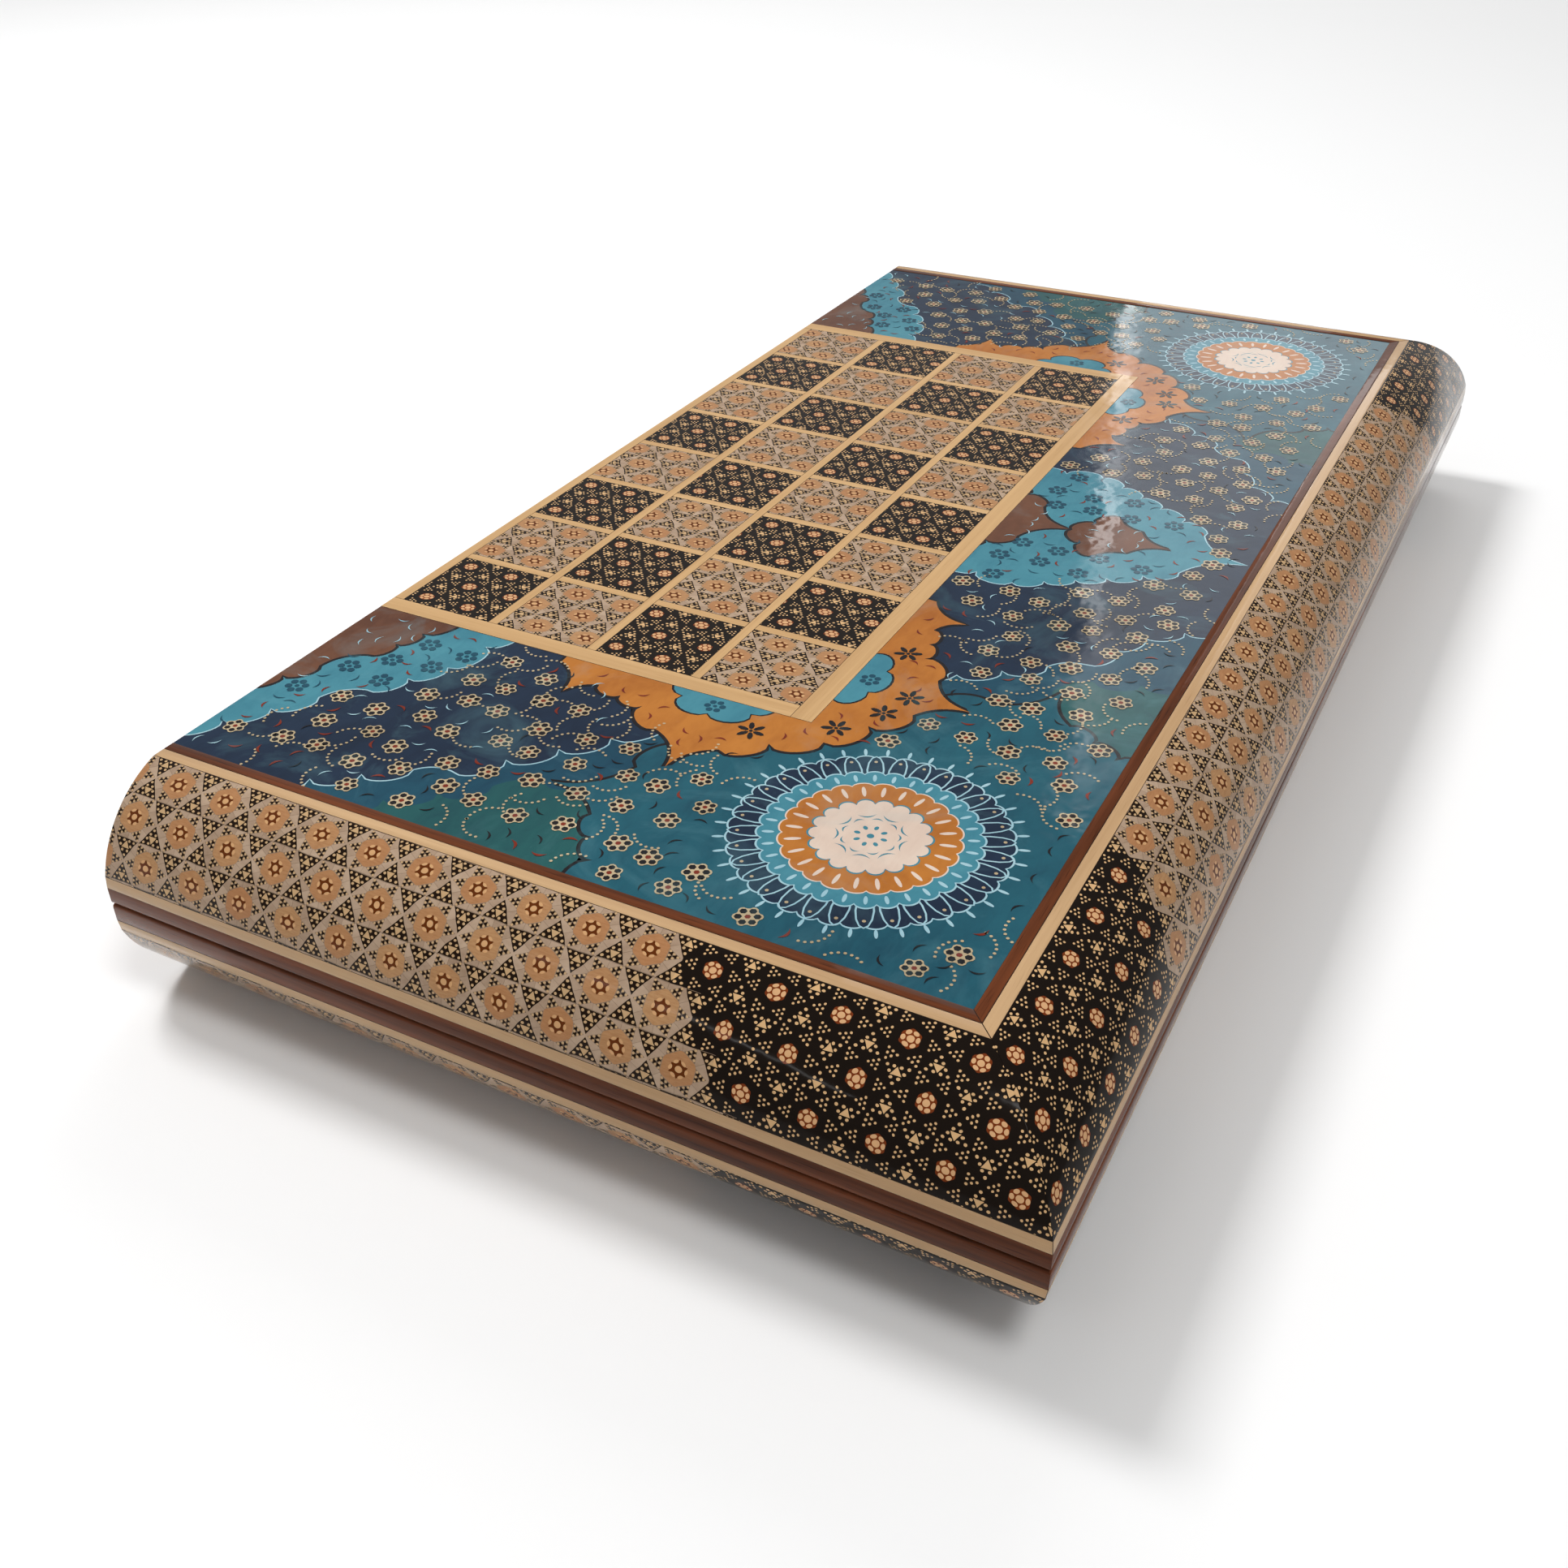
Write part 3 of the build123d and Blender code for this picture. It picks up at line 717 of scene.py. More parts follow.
frontWhole = rollLength("frontWhole", fieldY, hingeX, endX)
cutPiece(frontWhole, frontCorner, mitre)
sideWhole = rollLength("sideWhole", fieldX, -endY, endY)
sideWhole.data.transform(Matrix.Rotation(quarterTurn, 4, "Z"))
cutPiece(sideWhole, frontCorner, -mitre)
cutPiece(sideWhole, Vector((fieldX, fieldY, 0)), backMitre)
for whole in (frontWhole, sideWhole):
    tidyMesh(whole)
    softenEdges(whole, moulding["edge"])

frontLight = copyPiece(frontWhole, "front_inlay")
frontDark = copyPiece(frontWhole, "frontDark")
cutPiece(frontLight, frontJoint, frontNormal)
cutPiece(frontDark, frontJoint, -frontNormal)
sideLight = copyPiece(sideWhole, "side_inlay")
sideDark = copyPiece(sideWhole, "sideDark")
cutPiece(sideLight, sideJoint, -sideNormal)
cutPiece(sideLight, Vector((fieldX, fieldY - reach, 0)), Vector((-sideNormal.x, sideNormal.y, 0)))
cutPiece(sideDark, sideJoint, sideNormal)
for spare in (frontWhole, sideWhole):
    bpy.data.objects.remove(spare)
openEdit(sideLight)
bpy.ops.mesh.bisect(plane_co=(0, 0, 0), plane_no=(0, 1, 0))  # the stars mirror at the middle
closeEdit()
for lengths, rule in (((frontLight, frontDark), endRule), ((sideLight, sideDark), sideRule)):
    for length in lengths:
        tidyMesh(length)
        shadeSmooth(length)
        layMap(length, rule)
        dress(length, "stepped")
backLight = copyPiece(frontLight, "back_inlay", toBack)
frontCornerInlay = joinPieces("front_corner_inlay", [frontDark, sideDark])
backCornerInlay = copyPiece(frontCornerInlay, "back_corner_inlay", toBack)
forBothTrays(frontLight, "front_khatam")
forBothTrays(backLight, "back_khatam")
forBothTrays(sideLight, "side_khatam")
forBothTrays(frontCornerInlay, "front_corner_khatam")
forBothTrays(backCornerInlay, "back_corner_khatam")


# The strips: mitred lengths on three sides
strips = {"edge": 0.00012, "rimRound": 0.0011, "rimSteps": 6}
creamWide = creamHigh.x - rosewoodHigh.x
rimDeep = endX - facingHigh.x


# Draws the top outer edge in, to where the curve ends
def leanIn(piece, isOuter, inward):
    movePoints(piece, lambda point: point.z > rimCreamHigh.z - tiny and isOuter(point),
               inward * (endX - fieldX - curveWide))


# Rounds the outer edge beside the parting line
def roundRim(piece, isOuter, inward):
    openEdit(piece, "DESELECT")
    bpy.ops.mesh.select_mode(type="EDGE")
    shape = bmesh.from_edit_mesh(piece.data)
    for edge in shape.edges:
        edge.select = all(isOuter(point.co) and point.co.z < partingZ + tiny for point in edge.verts)
    bmesh.update_edit_mesh(piece.data)
    bpy.ops.mesh.bevel(offset=strips["rimRound"], segments=strips["rimSteps"])
    bpy.ops.mesh.select_mode(type="VERT")
    closeEdit()


# Lays a strip on both trays, between two distances from the middle each way.
# Its lengths are shaped before their mitres are cut.
def layStrip(name, keys, inner, outer, low, high, shape=None):
    (innerX, innerY), (outerX, outerY) = inner, outer
    front = addBlock("front", (hingeX, -outerY, low), (outerX, -innerY, high))
    side = addBlock("side", (innerX, -outerY, low), (outerX, outerY, high))
    if shape:
        shape(front, lambda point: point.y < -outerY + tiny, Vector((0, 1, 0)))
        shape(side, lambda point: point.x > outerX - tiny, Vector((-1, 0, 0)))
    cutPiece(front, Vector((outerX, -outerY, 0)), mitre)
    cutPiece(side, Vector((outerX, -outerY, 0)), -mitre)
    cutPiece(side, Vector((outerX, outerY, 0)), backMitre)
    for length, rule in ((front, alongX), (side, alongY)):
        tidyMesh(length)
        dress(length, *keys)
        softenEdges(length, strips["edge"], material=len(keys) - 1)
        layMap(length, rule)
    back = copyPiece(front, "back", toBack)
    forBothTrays(joinPieces(name + "_edging", [front, side, back]), name + "_strip")


print("Laying the strips")
creamInner = (fieldX - creamWide, fieldY - creamWide)
rimInner = (endX - rimDeep, endY - rimDeep)
layStrip("cream", ("cream", "glue"), creamInner, (fieldX, fieldY), paintLow.z, faceZ)
layStrip("rosewood", ("rosewood", "glue"), (paintX, paintY), creamInner, paintLow.z, faceZ)
layStrip("rim_cream", ("cream", "glue"), rimInner, (endX, endY), rimCreamLow.z, rimCreamHigh.z, leanIn)
layStrip("rim_rosewood", ("rosewood",), rimInner, (endX, endY), partingZ, rimHigh.z, roundRim)


# The chess grid: pale lines, a wider pale border and thirty-two inlaid squares
grid = {"edge": 0.00008, "across": 4, "along": 8, "line": 0.003, "hingeGap": 0.0003, "drift": 0.0011,
        "rowPitch": 0.01065, "darkPitch": 0.0149, "lightPitch": 0.0163, "darkPhase": -0.0028,
        "lightPhase": (0.0029, -0.0043), "columnShift": 40, "rowShift": 4}
cell = (linesHigh.y - linesLow.y + grid["line"]) / grid["along"]
lineWide = grid["along"] * cell - (squaresHigh.y - squaresLow.y)
hingeLineX = hingeX + lineWide + grid["hingeGap"]
window = cell - lineWide


def squareCentre(i, j):
    return Vector((hingeLineX + window / 2 + i * cell, (j - 3.5) * cell, 0))


def finishBlock(piece, rule, *keys):
    dress(piece, *keys)
    softenEdges(piece, grid["edge"], 1, material=len(keys) - 1)
    layMap(piece, rule)
    return piece


def addLine(name, low, high, rule):
    return finishBlock(addBlock(name, low, (high[0], high[1], faceZ)), rule, "line", "glue")


print("Laying the chess grid")
lineBlocks = []
for i in range(grid["across"]):
    lineX = squareCentre(i, 0).x - window / 2 - lineWide if i else hingeX
    lineEnd = lineX + lineWide if i else hingeLineX
    lineBlocks.append(addLine("line", (lineX, linesLow.y, linesLow.z), (lineEnd, linesHigh.y), alongY))
    for j in range(grid["along"] - 1):
        spot = squareCentre(i, j)
        low = (spot.x - window / 2, spot.y + window / 2, linesLow.z)
        lineBlocks.append(addLine("line", low, (spot.x + window / 2, low[1] + lineWide), alongX))
forBothTrays(joinPieces("grid_inlay_lines", lineBlocks), "grid_lines")

sideBorder = addLine("border", (linesHigh.x, borderLow.y, borderLow.z), (borderHigh.x, borderHigh.y), alongY)
frontBorder = addLine("border", (hingeX, borderLow.y, borderLow.z), (linesHigh.x, linesLow.y), alongX)
backBorder = copyPiece(frontBorder, "border", toBack)
forBothTrays(joinPieces("grid_edging", [sideBorder, frontBorder, backBorder]), "grid_border")


# One square, its pattern a little off centre like its neighbours' in the real board
def addSquare(i, j, tone):
    spot = squareCentre(i, j)
    half = Vector((window / 2, window / 2, 0))
    low, high = spot - half + Vector((0, 0, squaresLow.z)), spot + half + Vector((0, 0, faceZ))
    block = addBlock("square", low, high)
    pitch = grid[tone + "Pitch"]
    phase = grid["darkPhase"] if tone == "dark" else grid["lightPhase"][j % 2]
    drift = grid["drift"] * math.sin(i * 2.3 + j * 1.7)

    def rule(point):
        across = (point.x - spot.x - phase - drift) / pitch + 0.5
        down = (point.y - spot.y) / grid["rowPitch"] + 1.5
        return (across + grid["columnShift"] * (i + 5), down + grid["rowShift"] * j)
    return finishBlock(block, rule, tone, "glue")


for body, firstDark in (("upper", 0), ("lower", 1)):
    for tone, parity in (("dark", firstDark), ("light", 1 - firstDark)):
        blocks = [addSquare(i, j, tone) for i in range(grid["across"]) for j in range(grid["along"])
                  if (i + j) % 2 == parity]
        squares = joinPieces(body + "_" + tone + "_inlaid_squares", blocks)
        if body == "lower":
            squares.data.transform(toLower)
            squares.data.flip_normals()
        seat(squares, body, tone + "_squares")


# The painted field: a generic layout of scalloped patches, rosettes and small flowers.
# Corners of the patches are in millimetres on the front half, each with the number of
# scallops on the side that follows it, where -1 is one hollow. Layers go from the ground up,
# each with the paint of its edge and of itself.
field = {
    "ground": 0.00014, "levelStep": 0.0000033, "outline": 0.45, "inkOutline": 0.99,
    "scallopSteps": 10, "scallopDepth": 0.3, "hollowDepth": 0.5,
    "green": [
        (-70, -224, 3), (-40, -199, -1), (-30, -192, 3), (4, -170, 0), (40, -130, 3), (66, -96, -1),
        (74, -86, 2), (98, -78, 0), (98, -224, 0)],
    "corner": [
        (16, -140, 0), (-3, -150, 2), (-13, -176, -1), (-29, -191, -1), (-12, -198, 2), (-2, -213, 1),
        (2, -228, 0)],
    "navyFront": [
        (-95, -130, 0), (-124, -182, 0), (-124, -224, 0), (-92, -224, 3), (-62, -202, -1), (-53, -198, 3),
        (-26, -168, 1), (-18, -150, 0), (-8, -130, 0)],
    "navySide": [
        (10, 8, 0), (10, -104, 2), (40, -99, 2), (60, -84, -1), (69, -78, 2), (78, -56, 2), (98, -42, 0),
        (98, 8, 0)],
    "skyFront": [
        (-128, -130, 0), (-128, -216, 3), (-106, -186, -1), (-97, -177, 2), (-85, -158, 2), (-80, -130, 0)],
    "brownFront": [
        (-128, -130, 0), (-128, -190, 2), (-117, -173, -1), (-109, -162, 2), (-103, -146, 1),
        (-100, -130, 0)],
    "skyMiddle": [
        (10, 38, 0), (10, -38, 2), (34, -42, 3), (58, -27, 2), (76, -14, -1), (93, 0, -1), (76, 14, 2),
        (58, 27, 3), (34, 42, 2)],
    "brownMiddle": [(8, 25, 0), (8, -25, 2), (24, -12, -1), (37, 0, -1), (24, 12, 2)],
    "leafMiddle": [(38, 0, 2), (49, -15, -1), (58, -8, -1), (70, 0, -1), (58, 8, -1), (49, 15, 2)],
    "band": [
        (-60, -130, 0), (-59, -141, -1), (-50, -154, -1), (-43, -147, 2), (-27, -151, 1), (-18, -159, -1),
        (-7, -173, -1), (1, -160, 1), (11, -152, 1), (23, -145.2, 1)],
    "layers": [
        ("green", "pale", "green"), ("navyFront", "pale", "navy"), ("navySide", "pale", "navy"),
        ("corner", "ink", "teal"), ("skyFront", "pale", "turquoise"), ("brownFront", "ink", "brown"),
        ("skyMiddle", "pale", "turquoise"), ("brownMiddle", "ink", "brown"), ("leafMiddle", "ink", "brown"),
        ("band", "ink", "ochre")],
    "bandLobes": [(-10, -137, 15, 12), (15, -112, 11, 15)],
}


# Takes the board's C shape out of a sheet between the grid and the strips
def trimToField(piece):
    frontCuts = (((0, borderLow.y, 0), (0, 1, 0)),)
    sideCuts = (((0, borderLow.y, 0), (0, -1, 0)), ((0, borderHigh.y, 0), (0, 1, 0)),
                ((borderHigh.x, 0, 0), (-1, 0, 0)))
    backCuts = (((0, borderHigh.y, 0), (0, -1, 0)),)
    edgeCuts = (((hingeX, 0, 0), (-1, 0, 0)), ((paintX, 0, 0), (1, 0, 0)),
                ((0, -paintY, 0), (0, -1, 0)), ((0, paintY, 0), (0, 1, 0)))
    sheets = (piece, copyPiece(piece, piece.name), copyPiece(piece, piece.name))
    kept = []
    for sheet, cuts in zip(sheets, (frontCuts, sideCuts, backCuts)):
        for point, normal in cuts:
            cutPiece(sheet, point, normal, fill=False)
        if len(sheet.data.polygons):
            kept.append(sheet)
        else:
            bpy.data.objects.remove(sheet)
    whole = joinPieces("coat", kept)
    for point, normal in edgeCuts:
        cutPiece(whole, point, normal, fill=False)
    openEdit(whole)
    bpy.ops.mesh.remove_doubles(threshold=1e-6)
    closeEdit()
    return whole


# Closed outline through the corners, with round scallops on the sides that ask for them
def scallop(corners):
    steps = field["scallopSteps"]
    points = []
    for k, (x, y, lobes) in enumerate(corners):
        nextX, nextY, _ = corners[(k + 1) % len(corners)]
        start, along = Vector((x, y)), Vector((nextX - x, nextY - y))
        out = Vector((along.y, -along.x)) * field["scallopDepth"] / max(lobes, 1)
        points.append(start)
        for step in range(1, steps * abs(lobes)):
            swell = 1 - (2 * (step % steps) / steps - 1) ** 2
            depth = math.sqrt(swell) if lobes > 0 else -field["hollowDepth"] * swell
            points.append(start + along * step / (steps * abs(lobes)) + out * depth)
    return points


# Repeats the corners on the other side of the grid corner's diagonal, in reverse order
def mirrorCorner(corners):
    cornerX, cornerY = borderHigh.x / millimetre, borderLow.y / millimetre
    places = [(cornerX + cornerY - y, cornerY - x + cornerX) for x, y, _ in corners]
    lobes = [0] + [count for _, _, count in corners[:-1]]
    return [(x, y, count) for (x, y), count in zip(reversed(places), reversed(lobes))]


def widen(points, by):
    result = []
    for k, point in enumerate(points):
        before = (point - points[k - 1]).normalized()
        after = (points[(k + 1) % len(points)] - point).normalized()
        normal = Vector((before.y + after.y, -before.x - after.x))
        normal = normal if normal.length > 0.3 else Vector((before.y, -before.x))
        result.append(point + normal.normalized() * by)
    return result


# Round outline whose edge swells into the given number of lobes
def rose(x, y, radiusX, radiusY, lobes=0, depth=0.0, power=0.6, steps=8, least=12):
    count = max(least, lobes * steps)
    points = []
    for k in range(count):
        angle = 2 * math.pi * k / count
        swell = 1 + depth * (abs(math.cos(angle * lobes / 2)) ** power - 1) if lobes else 1
        points.append(Vector((x + radiusX * swell * math.cos(angle), y + radiusY * swell * math.sin(angle))))
    return points


def crescent(length, thick, bend, turn=0.0, steps=6):
    points = []
    for side in (1, -1):
        for k in range(steps):
            share = k / steps if side == 1 else 1 - k / steps
            along = (share - 0.5) * length
            across = bend * (1 - (2 * share - 1) ** 2) + side * thick * math.sin(math.pi * share) / 2
            points.append(Matrix.Rotation(turn, 2) @ Vector((along, across)))
    return points


levelsUsed = [0]


# Fills the outlines, given in millimetres, as one thin coat of paint above the coats before it
def paintCoat(key, outlines, lift=True):
    if lift:
        levelsUsed[0] += 1
    deselect()
    curve = bpy.data.curves.new("coat", "CURVE")
    curve.dimensions = "2D"
    curve.fill_mode = "BOTH"
    for outline in outlines:
        spline = curve.splines.new("POLY")
        spline.points.add(len(outline) - 1)
        for target, point in zip(spline.points, outline):
            target.co = (point.x, point.y, 0, 1)
        spline.use_cyclic_u = True
    coat = bpy.data.objects.new("coat", curve)
    bpy.context.scene.collection.objects.link(coat)
    activate(coat)
    bpy.ops.object.convert(target="MESH")
    coat = bpy.context.object
    coat.scale = (millimetre,) * 3
    coat.location.z = faceZ - field["ground"] + levelsUsed[0] * field["levelStep"]
    applyPlace(coat)
    dress(coat, key)
    return coat


# Whether the point lies in the outline, grown or shrunk by the margin
def isInside(point, outline, margin=0.0):
    crossings = 0
    nearest = math.inf
    for k, corner in enumerate(outline):
        other = outline[k - 1]
        if (corner.y > point.y) != (other.y > point.y):
            if point.x < (other.x - corner.x) * (point.y - corner.y) / (other.y - corner.y) + corner.x:
                crossings += 1
        along = other - corner
        share = max(0.0, min(1.0, (point - corner).dot(along) / max(along.length_squared, 1e-9)))
        nearest = min(nearest, (point - corner - along * share).length)
    inside = crossings % 2 == 1
    if margin < 0:
        return inside and nearest > -margin
    return inside or nearest < margin


print("Painting the field")
deselect()
bpy.ops.mesh.primitive_plane_add(size=1, location=((hingeX + paintX) / 2, 0, faceZ - field["ground"]))
ground = bpy.context.object
ground.scale = (paintX - hingeX, 2 * paintY, 1)
applyPlace(ground)
ground = trimToField(ground)
openEdit(ground)
bpy.ops.mesh.extrude_region_move(TRANSFORM_OT_translate={"value": (0, 0, field["ground"] - veneer)})
closeEdit()
tidyMesh(ground)
dress(ground, "deep")

field["band"] += mirrorCorner(field["band"])[1:]
field["corner"] += [(100, -228, 0)] + mirrorCorner(field["corner"])
regions = {name: scallop(field[name]) for name, _, _ in field["layers"]}
coats = []  # these are mirrored to the back half
middleCoats = []
for name, edge, key in field["layers"]:
    home = middleCoats if name.endswith("Middle") else coats
    wide = field["inkOutline"] if edge == "ink" else field["outline"]
    home.append(trimToField(paintCoat(edge, [widen(regions[name], wide)])))
    home.append(trimToField(paintCoat(key, [regions[name]])))
for edge, grow in (("ink", 0.7), ("turquoise", 0.0)):
    lobes = [rose(x, y, wide + grow, deep + grow, 6, 0.22) for x, y, wide, deep in field["bandLobes"]]
    coats.append(trimToField(paintCoat(edge, lobes)))

# Rosette near each free corner: lobed rounds, rings of petals and strokes at the heart
shamsa = {
    "place": (50.5, -176), "line": 0.5, "petalLine": 0.45,
    "navy": 33.5, "navyLobes": 40, "crownAt": 35.4,
    "petals": 32, "petalsAt": 27.5, "petalLong": 6.2, "petalWide": 2.25, "petalDotAt": 31.1,
    "sky": 26.5, "skyLobes": 32, "skyDashAt": 23.9,
    "ochre": 21.5, "ochreLobes": 24, "ochreLine": 0.4, "ochreDashAt": 18.1,
    "centre": 14.5, "centreLobes": 18, "curls": 9, "curlsAt": (8.6, 6.2), "dots": 8, "dotsAt": 3.4,
}
shamsaSpot = Vector(shamsa["place"])


def ringOf(count, radius, outline, shift=0.0):
    result = []
    for k in range(count):
        turned = Matrix.Rotation(2 * math.pi * (k + shift) / count, 2)
        result.append([turned @ (point + Vector((radius, 0))) + shamsaSpot for point in outline])
    return result


def roundOf(radius, lobes, depth):
    return [rose(*shamsaSpot, radius, radius, lobes, depth)]


# A small round or long dab of the brush
def dab(long, wide, least=12):
    return rose(0, 0, long, wide, least=least)


def paintShamsa(s):
    petals, petalsAt, line = s["petals"], s["petalsAt"], s["petalLine"]
    long, wide = s["petalLong"], s["petalWide"]
    outerCurls = ringOf(s["curls"], s["curlsAt"][0], crescent(4.6, 0.5, 1.0, quarterTurn))
    innerCurls = ringOf(s["curls"], s["curlsAt"][1], crescent(3.0, 0.45, -0.8, quarterTurn), 0.5)
    heart = ringOf(s["dots"], s["dotsAt"], dab(0.8, 0.55)) + ringOf(1, 0, dab(0.9, 0.9))
    for key, outlines, lift in (
            ("pale", roundOf(s["navy"] + s["line"], s["navyLobes"], 0.035), True),
            ("navy", roundOf(s["navy"], s["navyLobes"], 0.035), True),
            ("pale", ringOf(s["navyLobes"], s["crownAt"], dab(1.5, 0.45)), False),
            ("pale", ringOf(petals, petalsAt, dab(long, wide)), True),
            ("navy", ringOf(petals, petalsAt, dab(long - line, wide - line)), True),
            ("gold", ringOf(petals, s["petalDotAt"], dab(0.45, 0.45)), True),
            ("pale", roundOf(s["sky"] + s["line"], s["skyLobes"], 0.05), True),
            ("turquoise", roundOf(s["sky"], s["skyLobes"], 0.05), True),
            ("pale", ringOf(s["skyLobes"], s["skyDashAt"], dab(1.5, 0.5)), True),
            ("ivory", roundOf(s["ochre"] + s["ochreLine"], s["ochreLobes"], 0.05), True),
            ("ochre", roundOf(s["ochre"], s["ochreLobes"], 0.05), True),
            ("ivory", ringOf(s["ochreLobes"], s["ochreDashAt"], dab(2.1, 0.55)), True),
            ("turquoise", roundOf(s["centre"] + s["line"], s["centreLobes"], 0.12), True),
            ("ivory", roundOf(s["centre"], s["centreLobes"], 0.12), True),
            ("turquoise", outerCurls + innerCurls + heart, True)):
        coats.append(paintCoat(key, outlines, lift))


paintShamsa(shamsa)


# Small flowers, dot rows and strokes, each painted once and then repeated
def sixTimes(radius, long, wide, least):
    petal = rose(radius, 0, long, wide, least=least)
    return [[Matrix.Rotation(k * math.pi / 3, 2) @ point for point in petal] for k in range(6)]


def bentRow(count, radius, step, dot):
    turns = [step * (k - count // 2) for k in range(count)]
    places = [(radius * math.sin(turn), radius * math.cos(turn) - radius) for turn in turns]
    return [rose(x, y, dot, dot, least=6) for x, y in places]


motifs = {
    "flower": joinPieces("flower", [
        paintCoat("gold", [rose(0, 0, 3.6, 3.6, 6, 0.4, steps=5)]),
        paintCoat("ink", sixTimes(2.2, 0.95, 0.95, 6)),
        paintCoat("red", [dab(0.78, 0.78, 6)], False)]),
    "darkFlower": paintCoat("ink", sixTimes(2.5, 1.75, 0.8, 8) + [dab(0.6, 0.6, 6)], False),
    "seaFlower": paintCoat("deep", sixTimes(2.3, 1.05, 1.05, 8) + [dab(0.7, 0.7, 6)], False),
    "dotRow": paintCoat("gold", bentRow(7, 5.5, 0.27, 0.42), False),
    "seaStroke": paintCoat("deep", [crescent(4.2, 0.55, 1.0)], False),
    "inkStroke": paintCoat("ink", [crescent(4.4, 0.6, 1.0)], False),
    "paleStroke": paintCoat("pale", [crescent(3.8, 0.42, 0.9)], False),
    "redStroke": paintCoat("red", [crescent(4.4, 0.85, 1.0)], False),
}
scatter = {
    "seed": 11, "turns": (0, 6.28),
    "spacing": 12.4, "rowShare": 0.9, "jitter": 2.2, "count": 20, "start": (-120, -216),
    "flowerMargin": 4.4, "flowerClear": 40, "flowerSizes": (0.86, 1.0),
    "flowerRoom": {"band": 4.2, "lobe": 4.5, "bandEdge": 4.4, "brown": 3.0, "sky": 3.5},
    "strokeMargin": 3.2, "strokeClear": 39.5, "strokeTries": 3600, "strokeSpacing": 4.6,
    "strokeRoom": {"band": 2.5, "lobe": 3}, "strokeX": (-124, 94), "strokeY": (-220, 0),
    "upTo": {"skyRed": 0.3, "dotRow": 0.42, "navyPale": 0.8, "ink": 0.85},
    "lobeFlowers": [(-10, -142.5, 0.2), (20.5, -112, 0.7)],
}
rng = random.Random(scatter["seed"])
placed = []
navies, skies = ("navyFront", "navySide"), ("skyFront", "skyMiddle")
browns = ("brownFront", "brownMiddle", "leafMiddle")
edgeX, edgeY = paintX / millimetre, paintY / millimetre
gridX, gridY = borderHigh.x / millimetre, -borderLow.y / millimetre
lobeOutlines = [rose(x, y, wide, deep) for x, y, wide, deep in field["bandLobes"]]


def put(name, spot, turn, size=1.0):
    place = Matrix.Translation((spot.x * millimetre, spot.y * millimetre, 0))
    turned = Matrix.Rotation(turn, 4, "Z") @ Matrix.Diagonal((size, size, 1, 1))
    coats.append(copyPiece(motifs[name], "motif", place @ turned))
    placed.append(spot)


def inField(spot, margin, clear):
    isAcross = hingeX / millimetre + margin < spot.x < edgeX - margin
    isAlong = -edgeY + margin < spot.y < -margin / 2
    offGrid = spot.x > gridX + margin or spot.y < -gridY - margin
    return isAcross and isAlong and offGrid and (spot - shamsaSpot).length >= clear


def isOn(spot, names, margin=0):
    return any(isInside(spot, regions[name], margin) for name in names)


def isOnLobe(spot, margin):
    return any(isInside(spot, lobe, margin) for lobe in lobeOutlines)


def flowerAt(spot, turn, room):
    if isOn(spot, ["band"]):
        if isOn(spot, ["band"], -room["band"]) and not isOnLobe(spot, room["lobe"]):
            put("darkFlower", spot, turn, 0.95)
    elif isOn(spot, ["band"], room["bandEdge"]) or isOn(spot, browns, room["brown"]):
        return
    elif isOn(spot, skies):
        if isOn(spot, skies, -room["sky"]):
            put("seaFlower", spot, turn)
    else:
        put("flower", spot, turn, rng.uniform(*scatter["flowerSizes"]))


def strokeAt(spot, turn, kind, room, upTo):
    onBand = isOn(spot, ["band"])
    if onBand and (isOnLobe(spot, room["lobe"]) or not isOn(spot, ["band"], -room["band"])):
        return
    onSky = isOn(spot, skies)
    if isOn(spot, browns):
        put("paleStroke", spot, turn)
    elif onBand or (onSky and kind < upTo["skyRed"]):
        put("redStroke", spot, turn, 0.8)
    elif onSky:
        put("seaStroke", spot, turn)
    elif kind < upTo["dotRow"]:
        put("dotRow", spot, turn)
    elif kind < upTo["navyPale"] and isOn(spot, navies):
        put("paleStroke", spot, turn)
    else:
        put("inkStroke" if kind < upTo["ink"] else "redStroke", spot, turn, 0.9)


for x, y, turn in scatter["lobeFlowers"]:
    put("seaFlower", Vector((x, y)), turn, 0.9)
for row in range(scatter["count"]):
    for column in range(scatter["count"]):
        jitter = Vector((rng.uniform(-1, 1), rng.uniform(-1, 1))) * scatter["jitter"]
        step = Vector((column + row % 2 / 2, row * scatter["rowShare"])) * scatter["spacing"]
        spot = Vector(scatter["start"]) + step + jitter
        turn = rng.uniform(*scatter["turns"])
        if inField(spot, scatter["flowerMargin"], scatter["flowerClear"]):
            flowerAt(spot, turn, scatter["flowerRoom"])
for attempt in range(scatter["strokeTries"]):
    spot = Vector((rng.uniform(*scatter["strokeX"]), rng.uniform(*scatter["strokeY"])))
    turn = rng.uniform(*scatter["turns"])
    kind = rng.random()
    if not inField(spot, scatter["strokeMargin"], scatter["strokeClear"]):
        continue
    if min((spot - other).length for other in placed) >= scatter["strokeSpacing"]:
        strokeAt(spot, turn, kind, scatter["strokeRoom"], scatter["upTo"])
for motif in motifs.values():
    bpy.data.objects.remove(motif)
frontPaint = joinPieces("frontPaint", coats)
cutPiece(frontPaint, (0, 0, 0), (0, 1, 0), fill=False)
backPaint = copyPiece(frontPaint, "backPaint", toBack)
painted = joinPieces("painted_panel", [ground, frontPaint, backPaint, *middleCoats])
print("Paint levels", levelsUsed[0], "faces", len(painted.data.polygons))
forBothTrays(painted, "painted_field")


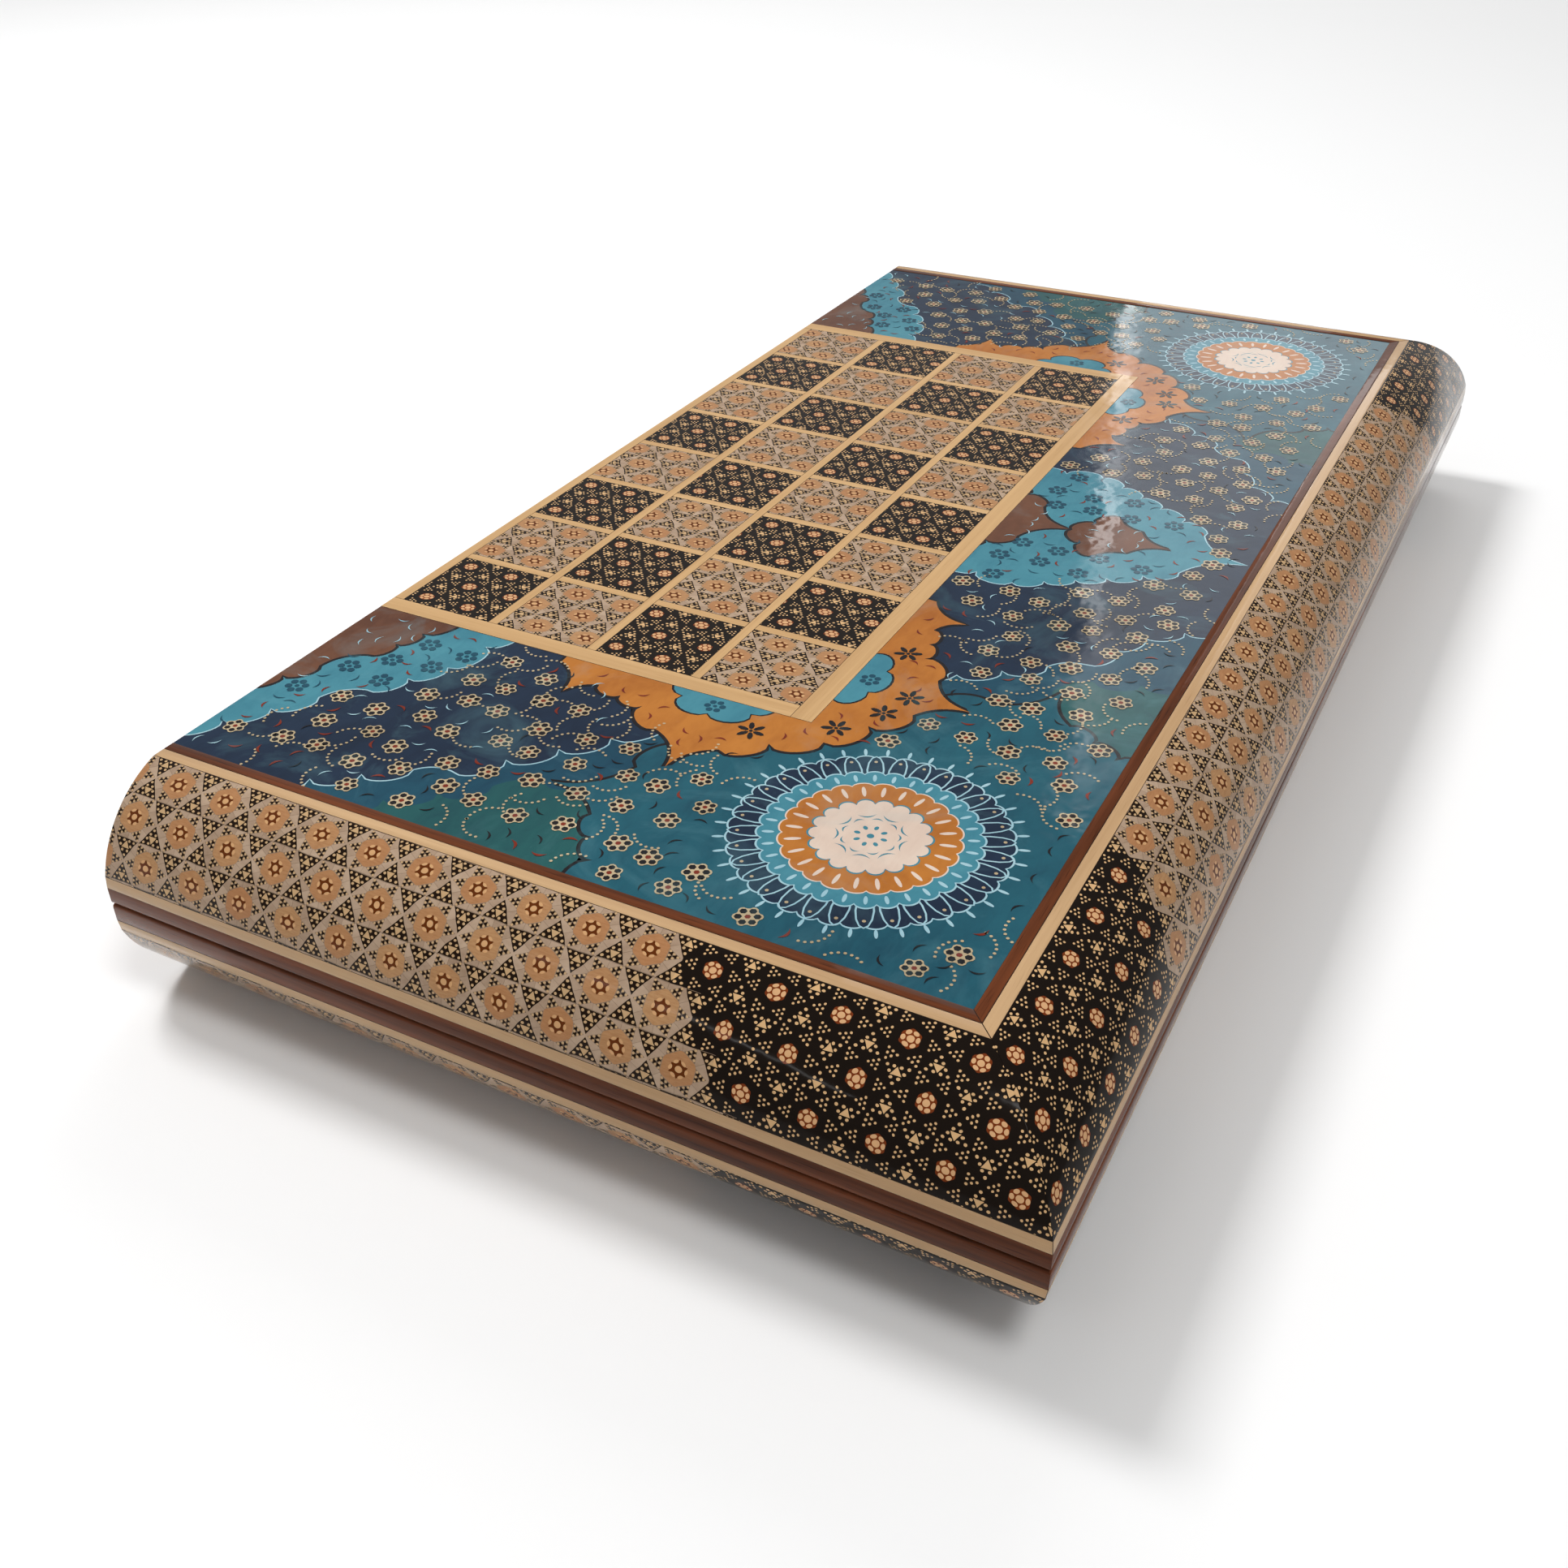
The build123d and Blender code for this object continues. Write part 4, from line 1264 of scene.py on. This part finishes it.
# Inside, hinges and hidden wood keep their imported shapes
print("Finishing the inside and the fittings")
insideFinishes = {
    "front_moulding": "coreX", "back_moulding": "coreX", "side_moulding": "coreY", "hinge_rail": "coreY",
    "panel": "panel", "rim_khatam": "rimFacing", "rail_khatam": "railFacing", "inner_field": "table",
    "inner_border": "innerFacing", "light_points": "pointLight", "dark_points": "pointDark",
    "hinge_leaves": "brass", "hinge_screws": "brass", "magnets": "steel",
}
for body in ("lower", "upper"):
    for node, key in insideFinishes.items():
        dress(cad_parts[body + "_" + node], key)
dress(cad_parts["hinge_pins"], "brass")


# Floor, lights and camera
studio = {
    "floorSize": 8.0, "floorGap": 0.00005, "floorShade": 0.86, "world": 0.34,
    "cameraPlace": (0.17429, -0.45198, 0.28391), "cameraTurn": (55.544, 0.454, 27.624),
    "lens": 37.096, "sensor": 36,
}
# Place, aim, power, size each way, and whether the lacquer mirrors the lamp
lamps = {
    "keyLamp": ((-1.1, 0.2, 1.7), (0, 0, 0.03), 25.0, (0.5, 0.5), False),
    "topLamp": ((0.7, -0.5, 1.9), (0, 0, 0.03), 14.0, (0.6, 0.6), True),
    "frontStrip": ((-0.55, -1.3, 1.05), (0, -0.2, 0.03), 0.9, (0.9, 0.03), True),
    "backSoftbox": ((-0.4, 2.6, 1.15), (-0.4, 0, 1.15), 2.8, (0.5, 1.7), True),
    "backStrip": ((-0.66, 2.55, 1.3), (-0.66, 0, 1.3), 0.5, (0.03, 1.4), True),
    "farLamp": ((-1.4, 3.6, 2.6), (-1.4, 3.6, 0), 60.0, (2.4, 2.4), False),
}


def addLamp(name, place, aim, power, size, isMirrored):
    deselect()
    bpy.ops.object.light_add(type="AREA", location=place)
    lamp = bpy.context.object
    lamp.name = name
    lamp.rotation_euler = (Vector(aim) - Vector(place)).to_track_quat("-Z", "Y").to_euler()
    lamp.visible_glossy = isMirrored
    lamp.data.energy = power
    lamp.data.shape = "RECTANGLE"
    lamp.data.size, lamp.data.size_y = size


print("Setting the floor, lights and camera")
deselect()
bpy.ops.mesh.primitive_plane_add(size=studio["floorSize"], location=(0, 0, -studio["floorGap"]))
floor = bpy.context.object
floor.name = "floor"
floorMaterial, _, floorShader, _ = startMaterial("floorPaper")
floorShader.inputs["Base Color"].default_value = (studio["floorShade"],) * 3 + (1,)
floorShader.inputs["Roughness"].default_value = 0.9
floorShader.inputs["Specular IOR Level"].default_value = 0.1
floor.data.materials.append(floorMaterial)
for name, values in lamps.items():
    addLamp(name, *values)

world = bpy.data.worlds.new("studio")
bpy.context.scene.world = world
world.use_nodes = True
background = world.node_tree.nodes["Background"]
background.inputs["Color"].default_value = (1, 1, 1, 1)
background.inputs["Strength"].default_value = studio["world"]

bpy.ops.object.camera_add(location=studio["cameraPlace"])
camera = bpy.context.object
camera.rotation_euler = tuple(math.radians(turn) for turn in studio["cameraTurn"])
camera.data.lens = studio["lens"]
camera.data.sensor_width = studio["sensor"]
camera.data.clip_start = 0.01
bpy.context.scene.camera = camera
bpy.context.scene.view_settings.view_transform = "Standard"
